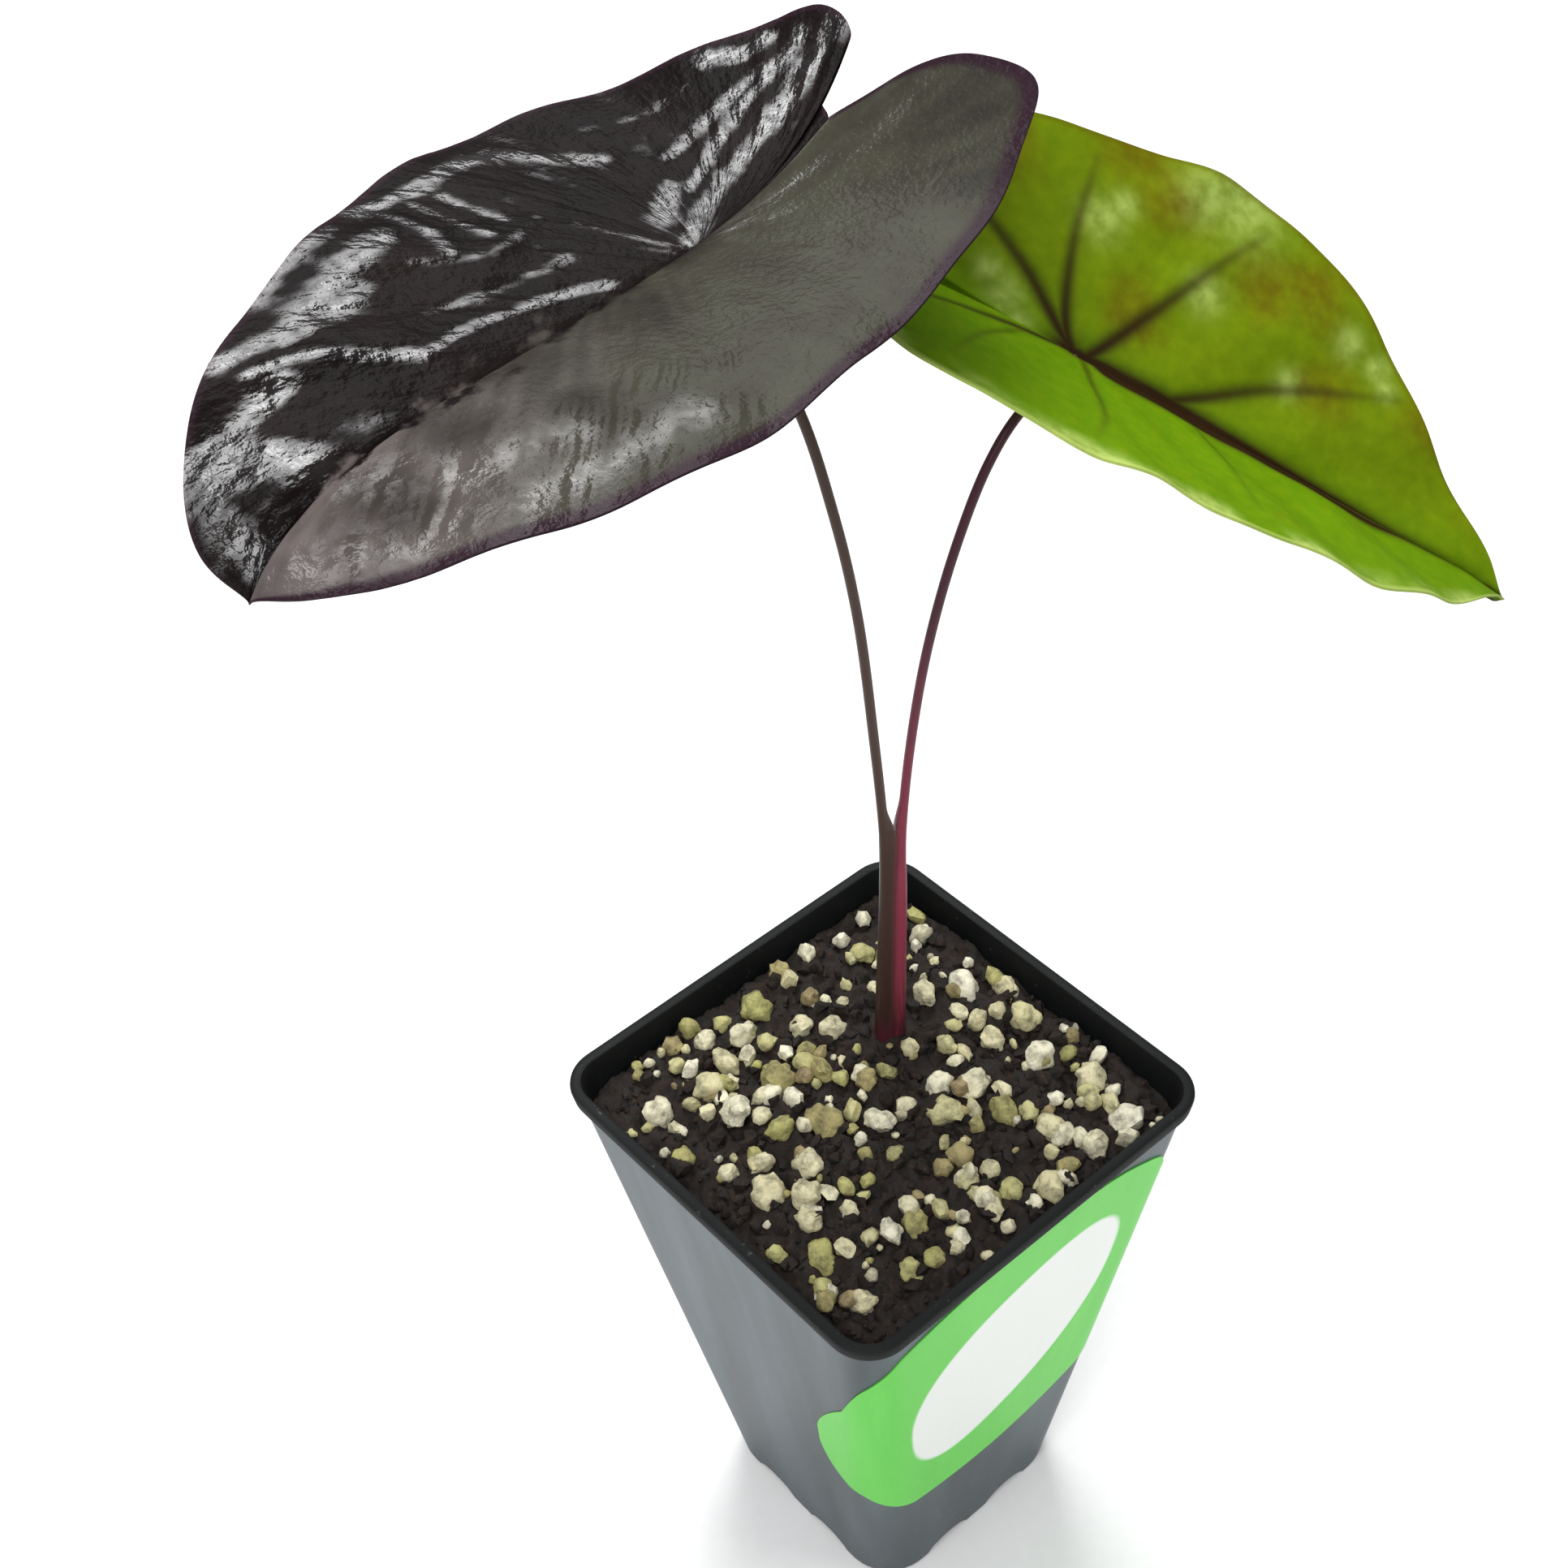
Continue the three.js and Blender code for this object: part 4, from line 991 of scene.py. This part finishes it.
def black_relief(share, side, flat, spread, crinkle):
    """Height over the smooth black leaf: deep wrinkles on the glossy half, soft ones on the other."""
    out = np.abs(side)
    open_out = open_skin(share, out, spread)
    veins = along_veins(share, side)
    wrinkles = noise_field(veins, (3.4, 9.0), 1.5) + 0.5 * noise_field(veins, (1.7, 5.0), 8.2)
    dents = noise_field(flat, (4.5, 4.5), 4.4)
    buckles = noise_field(veins, (10.0, 15.0), 3.7)
    foil = noise_field(flat, (2.3, 2.3), 15.3) + 0.6 * noise_field(flat, (1.3, 1.3), 18.9)
    pleats = np.sin(share * 250 + 0.4 * dents) * smooth_step(0.76, 0.84, share) * open_out
    # the skin is most folded round the glints
    wider = [(line, 2 * start, 2 * end, 1) for line, start, end, _ in GLINTS]
    folded = 0.45 + 0.55 * line_field(wider, flat, 0)[0]
    deep = 0.35 * swells(share, out) * spread + 0.09 * pleats * crinkle
    deep = deep + crinkle * open_out * (0.5 * buckles + folded * (
        0.34 * wrinkles * smooth_step(0.05, 0.5, spread) + 0.4 * dents + 0.17 * foil))
    # short waves about 2.3 mm apart along the satin half's margin
    waves = np.sin(share * MARGIN_LENGTH / 2.3 * 2 * math.pi + 3 * noise_field(flat, (7, 7), 6.1))
    broken = smooth_step(-0.2, 0.4, noise_field(flat, (5, 5), 9.3))
    margin_waves = waves * broken * smooth_step(0.3, 0.6, out) * smooth_step(1.0, 0.86, out)
    margin_waves = margin_waves * smooth_step(0.5, 0.3, share) * ends(share) * spread
    tip = smooth_step(0.24, 0.1, share) * ends(share)
    soft = 0.35 * swells(share, out) * spread + crinkle * (0.16 * open_out * dents + 0.13 * margin_waves)
    soft = soft + crinkle * open_out * tip * (0.25 * dents + 0.14 * foil)
    return np.where(side < 0, deep, soft) + rippled(BLACK_LEAF, share, out)


def green_relief(share, side, flat, spread, crinkle):
    """Height over the smooth green leaf: gentle swelling between the veins."""
    out = np.abs(side)
    open_out = open_skin(share, out, spread)
    soft = noise_field(flat, (7, 7), 2.2)
    edge = noise_field(along_veins(share, 0 * side), (7.0, 1.0), 8.5) * ends(share)
    return (0.7 * swells(share, out) * spread + 0.45 * crinkle * soft * open_out
            + rippled(GREEN_LEAF, share, out) + 0.5 * out ** 3 * edge)


def black_paint(share, side, flat, margin):
    """What the black leaf's skin reads: its polish, the satin half's painted sheen and shade, and the rim,
    wide on that half.
    """
    frayed = noise_field(along_veins(share, side), (1.8, 7.0), 7.7)
    return {
        "rim": np.where(side > 0, smooth_step(0.93, 0.975, margin), smooth_step(0.972, 0.995, margin)),
        "polish": black_polish(share, side, flat),
        # how much painted sheen the satin half shows, with painted shade in the dull spots
        "tone": 1 - 0.7 * smooth_step(0.1, 1.1, spots(flat, DULL_AND_SHADED_SPOTS) + 0.5 * frayed),
    }


def green_paint(share, side, flat, margin):
    """What the green leaf's skin reads: its rim, olive parts, painted highlights, and pale patches along the
    lower margin.
    """
    patchy = smooth_step(-0.5, 0.4, noise_field(flat, (9, 9), 5.8))
    edge = smooth_step(-0.86, -1, side) * patchy * ends(share)
    return {
        "rim": smooth_step(0.972, 0.995, margin),
        "olive": spots(flat, OLIVE_SPOTS),
        # pale: the painted highlights, and pale patches along the lower margin
        "pale": np.maximum(0.6 * spots(flat, PAINTED_HIGHLIGHT_SPOTS), edge),
    }


def leaf_piece(name, leaf, lines, relief, paint, sizes, material, slot, node):
    """One blade: a grid along its veins, lifted by its relief, grooved above and ribbed below."""
    def shape(share, across):
        side = across * 2 - 1
        flat = flat_places(leaf, share, side)
        rise = relief(share, side, flat, vein_spread(leaf, share, side), sizes.crinkle)
        field, midrib = line_field(lines, flat)
        middle = bent(leaf, flat[:, 0], flat[:, 1])
        normal = bent_normals(leaf, flat[:, 0], flat[:, 1])
        margin = np.maximum(np.abs(side), 1 - smooth_step(0, 0.03, share))
        half = mix(sizes.leaf_middle, sizes.leaf_edge, margin ** 4) / MM / 2
        groove = field * np.where(side >= 0, *leaf["grooves"]) + leaf["midrib_groove"] * midrib
        rib = leaf["rib_height"] * field + leaf["midrib_depth"] * midrib * 0.8
        rib = rib * (1 - smooth_step(0.9, 1, margin))
        upper = middle + normal * (rise + half - groove)[:, None]
        lower = middle + normal * (rise - half - groove * 0.6 - rib)[:, None]
        maps = {"veins": np.stack([share, across], -1), "flat": flat / 100 + 0.5}
        return flat, upper, lower, maps, {"vein": field, **paint(share, side, flat, margin)}

    bm = two_faced_sheet(sizes.leaf_lines, sizes.leaf_steps, shape, upper_only=("polish",))
    finished(name, bm, material, slot, node, smooth_angle=75)


# Sizes and colours that a user would change


def colour(name, description, text):
    return FloatVectorProperty(
        name=name, description=description, default=linear(text), size=4, min=0, max=1, subtype="COLOR")


class PlantSizes(bpy.types.PropertyGroup):
    """Sizes of the visible pieces"""

    leaf_lines: IntProperty(
        name="Leaf lines", description="Lines from the tip to the notch", default=300, min=40)
    leaf_steps: IntProperty(
        name="Leaf steps", description="Steps from margin to margin", default=150, min=20)
    leaf_middle: FloatProperty(
        name="Blade thickness", description="Thickness near the midrib", default=0.6 * MM, unit="LENGTH")
    leaf_edge: FloatProperty(
        name="Margin thickness", description="Thickness at the margin", default=0.35 * MM, unit="LENGTH")
    crinkle: FloatProperty(
        name="Crinkle", description="Share of the small folds' full height", default=1.0, min=0)
    pot_wall: FloatProperty(
        name="Pot wall", description="Thickness of the pot's wall", default=0.9 * MM, unit="LENGTH")
    crumbs: IntProperty(name="Crumbs", description="Loose crumbs on the mix", default=1100, min=0)
    small_perlite: IntProperty(name="Small perlite", description="Grains under 3 mm", default=170, min=0)


class PlantColours(bpy.types.PropertyGroup):
    """Colours of the visible pieces"""

    black_gloss: colour("Glossy half", "Black leaf, glossy half", "#0e0909")
    # the satin half's colours are a painted sheen, paler near the tip and fainter, as painted shade, in the
    # dull spots
    black_painted_sheen: colour("Satin half", "Black leaf, satin half", "#39382e")
    black_tip_painted_sheen: colour("Satin near the tip", "Black leaf, satin half near the tip", "#5e5655")
    black_faint_sheen: colour("Dull skin", "Black leaf, darkest parts of the satin half", "#282622")
    black_bloom: colour("Bloom", "Brown-grey clouds in the black leaf", "#211b19")
    black_rim: colour("Black leaf's rim", "Purple rim of the black leaf", "#271720")
    green_bright: colour("Green", "Green leaf, fresh parts", "#567c02")
    green_yellow: colour("Yellow green", "Green leaf, the half with more light", "#5c7202")
    green_olive: colour("Olive", "Green leaf, parts that start to darken", "#5c5503")
    green_pale: colour("Pale green", "Green leaf, pale mottling", "#7d9205")
    green_vein: colour("Vein", "Green leaf's veins", "#2a1a0a")
    # its pale colour paints the lower rim and the painted highlights
    green_pale_rim_and_painted_highlight: colour("Green leaf's rim", "Pale rim and patches of the green leaf", "#a9bb63")
    stalk_brown: colour("Brown stalk", "Black leaf's stalk at its foot", "#3c2723")
    stalk_grey: colour("Grey stalk", "Black leaf's stalk at its top", "#49362f")
    stalk_foot: colour("Stalk's foot", "Green leaf's stalk where it leaves the mix", "#51232d")
    stalk_crimson: colour("Crimson stalk", "Green leaf's stalk up to the fork", "#8c3449")
    stalk_maroon: colour("Maroon stalk", "Green leaf's stalk at its top", "#4b2a33")
    # the pot's dark and light bands are painted shade and painted light
    pot_painted_shade_band: colour("Pot, dark", "Dark bands of the pot", "#40494d")
    pot_painted_light_band: colour("Pot, light", "Light bands of the pot", "#69757a")
    # the foot colour and the rim colour, which also covers the inner face, are painted shade
    pot_foot_shade: colour("Pot, foot", "The pot towards its foot", "#2f383b")
    pot_rim_and_inner_shade: colour("Pot rim", "The rolled rim", "#0d0f10")
    pot_dust: colour("Dust", "Dust on the pot", "#8e8b84")
    sticker_green: colour("Sticker", "Green ink", "#55cc36")
    sticker_pale: colour("Sticker, worn", "Green ink where it is paler", "#6ddb50")
    sticker_white: colour("Panel", "Bare white panel", "#f6f9f4")
    mix_dark: colour("Mix, dark", "Darkest parts of the potting mix", "#0f0c0b")
    mix_brown: colour("Mix, brown", "Brown parts of the potting mix", "#261d18")
    mix_rust: colour("Mix, rust", "Rusty fibres in the potting mix", "#4a3526")
    perlite_white: colour("Perlite, white", "Cleanest perlite", "#e3dfc8")
    perlite_cream: colour("Perlite, cream", "Cream perlite", "#d0c8a0")
    perlite_green: colour("Perlite, green", "Perlite with algae", "#aba868")
    perlite_tan: colour("Perlite, tan", "Stained perlite", "#978662")
    perlite_dirt: colour("Perlite, dirt", "Dirt on the perlite", "#3f3828")
    corm_dark: colour("Corm, dark", "Dark rings of the corm", "#3c281b")
    corm_light: colour("Corm, light", "Light rings of the corm", "#7a5a3e")
    floor: colour("Floor", "Studio card", "#f4f4f4")
    floor_tooth: colour("Floor, tooth", "Studio card, in its grain", "#efefef")


# Operators


class PLANT_OT_pot(bpy.types.Operator):
    """Builds the square nursery pot with its rolled rim and drain notches"""

    bl_idname = "plant.pot"
    bl_label = "Nursery pot"

    def execute(self, context):
        wall = context.scene.plant_sizes.pot_wall / MM
        under_rim = POT_HEIGHT - RIM_HEIGHT
        rings = [wall_ring(z, offset) for z, offset in (
            (0, -1.4), (0, -0.9), (0.27, -0.27), (0.9, 0), (1.6, 0), (5, 0), (under_rim - 1.4, 0),
            (under_rim - 0.9, 0.05), (under_rim - 0.35, 0.55), (under_rim, RIM_STEP),
            (POT_HEIGHT - 0.55, RIM_STEP), (POT_HEIGHT - 0.16, RIM_STEP - 0.16),
            (POT_HEIGHT, RIM_STEP - 0.55), (POT_HEIGHT, -wall + 0.4), (POT_HEIGHT - 0.12, -wall + 0.12),
            (POT_HEIGHT - 0.4, -wall), (under_rim - 1, -wall), (5, -wall), (POT_FLOOR + 1.5, -wall),
            (POT_FLOOR + 0.4, -wall - 0.4), (POT_FLOOR, -wall - 1.5))]
        bm = extruded_rings(rings)
        # the inner face, which the plastic's colour darkens with painted shade
        inner = bm.verts.layers.float.new("inner")
        for vert in bm.verts:
            x, y, z = vert.co
            out = past_straight(x, y, wall_distance(z) - corner_radius(z))
            vert[inner] = z > 1 and out < corner_radius(z) - wall / 2
        pot = finished("nursery_pot", bm, moulded_pot_plastic(context.scene.plant_colours),
                       "pot_plastic", "pot", smooth_angle=POT_SHARPNESS)
        cutter = drain_cutters()
        cut = pot.modifiers.new("drain_notches", "BOOLEAN")
        cut.operation, cut.solver, cut.object = "DIFFERENCE", "EXACT", cutter
        solid = bpy.data.meshes.new_from_object(pot.evaluated_get(context.evaluated_depsgraph_get()))
        pot.modifiers.clear()
        pot.data = solid
        solid.set_sharp_from_angle(angle=math.radians(POT_SHARPNESS))
        bpy.data.objects.remove(cutter)
        return {"FINISHED"}


def drain_cutters():
    """Eight arched cutters, two at the foot of each wall, in one object."""
    bm = bmesh.new()
    for side in range(4):
        for across in (-NOTCH_OFFSET, NOTCH_OFFSET):
            place = (Matrix.Rotation(side * math.pi / 2, 4, "Z")
                     @ Matrix.Translation((across, POT_BOTTOM_WIDTH / 2, 0))
                     @ Matrix.Rotation(math.pi / 2, 4, "X"))
            made = bmesh.ops.create_cone(
                bm, cap_ends=True, segments=40, radius1=NOTCH_HALF_WIDTH, radius2=NOTCH_HALF_WIDTH,
                depth=10, matrix=place)
            for vert in made["verts"]:
                vert.co.z *= NOTCH_HEIGHT / NOTCH_HALF_WIDTH
    return linked("drain_cutters", bm)


class PLANT_OT_sticker(bpy.types.Operator):
    """Builds the oval sticker that wraps the front wall and its corners"""

    bl_idname = "plant.sticker"
    bl_label = "Sticker"

    def execute(self, context):
        middle = sum(STICKER_HEIGHTS) / 2
        half_height = (STICKER_HEIGHTS[1] - STICKER_HEIGHTS[0]) / 2
        centre = sum(STICKER_ENDS) / 2
        half_width = (STICKER_ENDS[1] - STICKER_ENDS[0]) / 2

        def shape(across, up):
            share = -np.cos(across * math.pi) * 0.995
            reach = half_height * (1 - np.abs(share) ** STICKER_SQUARENESS) ** (1 / STICKER_SQUARENESS)
            # the left end hangs, and the top droops to the right, as it was pressed on askew
            hang = 4.5 * np.maximum(0, -share) ** 2 + 6 * smooth_step(-0.7, -1.0, share)
            hang = hang + 5.0 * smooth_step(0.2, 0.75, share) * up
            place, z = centre + half_width * share, middle - hang + reach * (up * 2 - 1)
            flat = np.stack([place, z / 100], -1)
            return flat, *(wall_point(place, z, offset) for offset in STICKER_FACES), {"wall": flat}, {}

        bm = two_faced_sheet(120, 24, shape)
        finished("oval_sticker", bm, coated_paper_sticker(context.scene.plant_colours),
                 "label_sticker", "label")
        return {"FINISHED"}


class PLANT_OT_potting_mix(bpy.types.Operator):
    """Builds the potting mix with its crumbly top, and the loose crumbs that lie on it"""

    bl_idname = "plant.potting_mix"
    bl_label = "Potting mix"

    def execute(self, context):
        colours = context.scene.plant_colours
        material = damp_potting_mix(colours)
        bm = bmesh.new()
        across, along = (bm.verts.layers.float.new(name) for name in ("across", "along"))
        bmesh.ops.create_grid(bm, x_segments=150, y_segments=150, size=1)
        for vert in bm.verts:
            vert[across], vert[along] = vert.co.x, vert.co.y
            x, y = square_to_pot(vert.co.x, vert.co.y)
            vert.co = (x, y, crumb_height(x, y))
        for z in (60.0, POT_FLOOR + 0.3):
            edges = [edge for edge in bm.edges if edge.is_boundary]
            for vert in new_verts(bmesh.ops.extrude_edge_only(bm, edges=edges)):
                vert.co = (*square_to_pot(vert[across], vert[along], z), z)
        bmesh.ops.contextual_create(bm, geom=[edge for edge in bm.edges if edge.is_boundary])
        bmesh.ops.recalc_face_normals(bm, faces=bm.faces)
        finished("potting_mix_body", bm, material, "potting_mix", "potting_mix", smooth_angle=60)
        self.crumbs(context, material)
        return {"FINISHED"}

    def crumbs(self, context, material):
        draw = seeded_draw(CRUMB_SEED)
        bm = bmesh.new()
        tint = bm.verts.layers.float.new("tint")
        for x, y, radius in scattered(draw, context.scene.plant_sizes.crumbs, 0.35, 1.5, 2.2):
            place = (x, y, crumb_height(x, y) + radius * mix(-0.2, 0.5, next(draw)), radius)
            shape = (mix(0.75, 1.5, next(draw)), (next(draw) * 6, next(draw) * 6), 0.5)
            add_grain(bm, tint, place, shape, next(draw), 1)
        bmesh.ops.recalc_face_normals(bm, faces=bm.faces)
        finished("potting_mix_crumbs", bm, material, "potting_mix")


class PLANT_OT_perlite(bpy.types.Operator):
    """Scatters the perlite grains over the mix, in the same places as in the solid"""

    bl_idname = "plant.perlite"
    bl_label = "Perlite"

    def execute(self, context):
        draw = seeded_draw(PERLITE_SEED)
        bm = bmesh.new()
        tint = bm.verts.layers.float.new("tint")
        small = scattered(draw, context.scene.plant_sizes.small_perlite, 0.5, 1.6, 1.3)
        for x, y, radius in [(x, y, radius * 0.82) for x, y, radius in perlite_places()] + small:
            z = mix_height(x, y) + radius * (0.15 if radius >= 1.6 else 0.35)
            shape = (mix(0.7, 1.35, next(draw)), (next(draw) * 6, next(draw) * 6), 0.42)
            add_grain(bm, tint, (x, y, z, radius), shape, next(draw) ** 1.1, 3 if radius >= 1.5 else 2)
        bmesh.ops.recalc_face_normals(bm, faces=bm.faces)
        finished("perlite_grains", bm, popped_perlite(context.scene.plant_colours),
                 "potting_mix", smooth_angle=50)
        return {"FINISHED"}


class PLANT_OT_stalks(bpy.types.Operator):
    """Builds the two leaf stalks, joined in one sheath up to their fork"""

    bl_idname = "plant.stalks"
    bl_label = "Leaf stalks"

    def execute(self, context):
        colours = context.scene.plant_colours
        brown = stalk_skin("grey_brown_stalk", colours)
        red = stalk_skin("crimson_stalk", colours)
        finished("stalk_of_black_leaf", extruded_rings(stalk_rings(BLACK_STALK, BLACK_LEAF)), brown,
                 "brown_stalk", "petiole_black_leaf")
        finished("stalk_of_green_leaf", extruded_rings(stalk_rings(GREEN_STALK, GREEN_LEAF)), red,
                 "red_stalk", "petiole_green_leaf")
        return {"FINISHED"}


class PLANT_OT_leaves(bpy.types.Operator):
    """Builds the near-black leaf and the green leaf"""

    bl_idname = "plant.leaves"
    bl_label = "Leaf blades"

    def execute(self, context):
        sizes, colours = context.scene.plant_sizes, context.scene.plant_colours
        leaf_piece("black_leaf", BLACK_LEAF, vein_lines(BLACK_LEAF), black_relief, black_paint, sizes,
                   waxy_black_leaf(colours), "black_blade", "blade_black_leaf")
        leaf_piece("green_leaf", GREEN_LEAF, GREEN_VEINS, green_relief, green_paint, sizes,
                   fresh_green_leaf(colours), "green_blade", "blade_green_leaf")
        return {"FINISHED"}


class PLANT_OT_corm(bpy.types.Operator):
    """Gives the hidden corm its skin"""

    bl_idname = "plant.corm"
    bl_label = "Corm"

    def execute(self, context):
        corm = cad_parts["corm"]
        corm.data.materials.clear()
        corm.data.materials.append(fibrous_corm(context.scene.plant_colours))
        return {"FINISHED"}


class PLANT_OT_stage(bpy.types.Operator):
    """Sets the pale floor, the soft lights and the camera"""

    bl_idname = "plant.stage"
    bl_label = "Stage"

    def execute(self, context):
        scene = context.scene
        bm = bmesh.new()
        bmesh.ops.create_grid(bm, x_segments=8, y_segments=8, size=4)
        floor = linked("studio_floor", bm, 1)
        floor.data.materials.append(pale_floor(scene.plant_colours))

        for name, (azimuth, elevation, distance, width, height, power) in SOFTBOXES.items():
            light = bpy.data.lights.new(name, "AREA")
            light.shape, light.size, light.size_y, light.energy = "RECTANGLE", width, height, power
            lamp = bpy.data.objects.new(name, light)
            away = seen_from(azimuth, elevation)
            lamp.location = Vector(LIT_PLACE) + away * distance
            lamp.rotation_euler = (-away).to_track_quat("-Z", "Y").to_euler()
            scene.collection.objects.link(lamp)

        world = bpy.data.worlds.new("studio")
        world.use_nodes = True
        fill(world.node_tree, world.node_tree.nodes["Background"], {
            "Color": linear("#f2f4f6"), "Strength": WORLD_STRENGTH})
        scene.world = world
        scene.view_settings.view_transform = "Standard"

        back = seen_from(*CAMERA_VIEW)
        roll = math.radians(CAMERA_ROLL)
        right = (-back).cross(Vector((0, 0, 1))).normalized()
        down = (-back).cross(right)
        across = right * math.cos(roll) + down * math.sin(roll)
        below = -right * math.sin(roll) + down * math.cos(roll)
        data = bpy.data.cameras.new("camera")
        data.sensor_width, data.lens = 36.0, CAMERA_LENS
        data.clip_start, data.clip_end = 0.01, 20
        camera = bpy.data.objects.new("camera", data)
        camera.matrix_world = Matrix((
            *((across[i], -below[i], back[i], CAMERA_PLACE[i]) for i in range(3)), (0, 0, 0, 1)))
        scene.collection.objects.link(camera)
        scene.camera = camera
        return {"FINISHED"}


class PLANT_PT_tools(bpy.types.Panel):
    """Lists the builders and the sizes and colours that they use"""

    bl_label = "Potted elephant ear"
    bl_space_type = "VIEW_3D"
    bl_region_type = "UI"
    bl_category = "Plant"

    def draw(self, context):
        for operator in OPERATORS:
            self.layout.operator(operator.bl_idname)
        for group in (context.scene.plant_sizes, context.scene.plant_colours):
            for key in group.__annotations__:
                self.layout.prop(group, key)


OPERATORS = (
    PLANT_OT_pot, PLANT_OT_sticker, PLANT_OT_potting_mix, PLANT_OT_perlite,
    PLANT_OT_stalks, PLANT_OT_leaves, PLANT_OT_corm, PLANT_OT_stage,
)
CLASSES = (PlantSizes, PlantColours, *OPERATORS, PLANT_PT_tools)


def register():
    for cls in CLASSES:
        bpy.utils.register_class(cls)
    bpy.types.Scene.plant_sizes = PointerProperty(type=PlantSizes)
    bpy.types.Scene.plant_colours = PointerProperty(type=PlantColours)


def unregister():
    del bpy.types.Scene.plant_colours
    del bpy.types.Scene.plant_sizes
    for cls in reversed(CLASSES):
        bpy.utils.unregister_class(cls)


def main():
    register()
    bpy.ops.plant.pot()
    bpy.ops.plant.sticker()
    bpy.ops.plant.potting_mix()
    bpy.ops.plant.perlite()
    bpy.ops.plant.stalks()
    bpy.ops.plant.leaves()
    bpy.ops.plant.corm()
    bpy.ops.plant.stage()


if __name__ == "__main__":
    main()
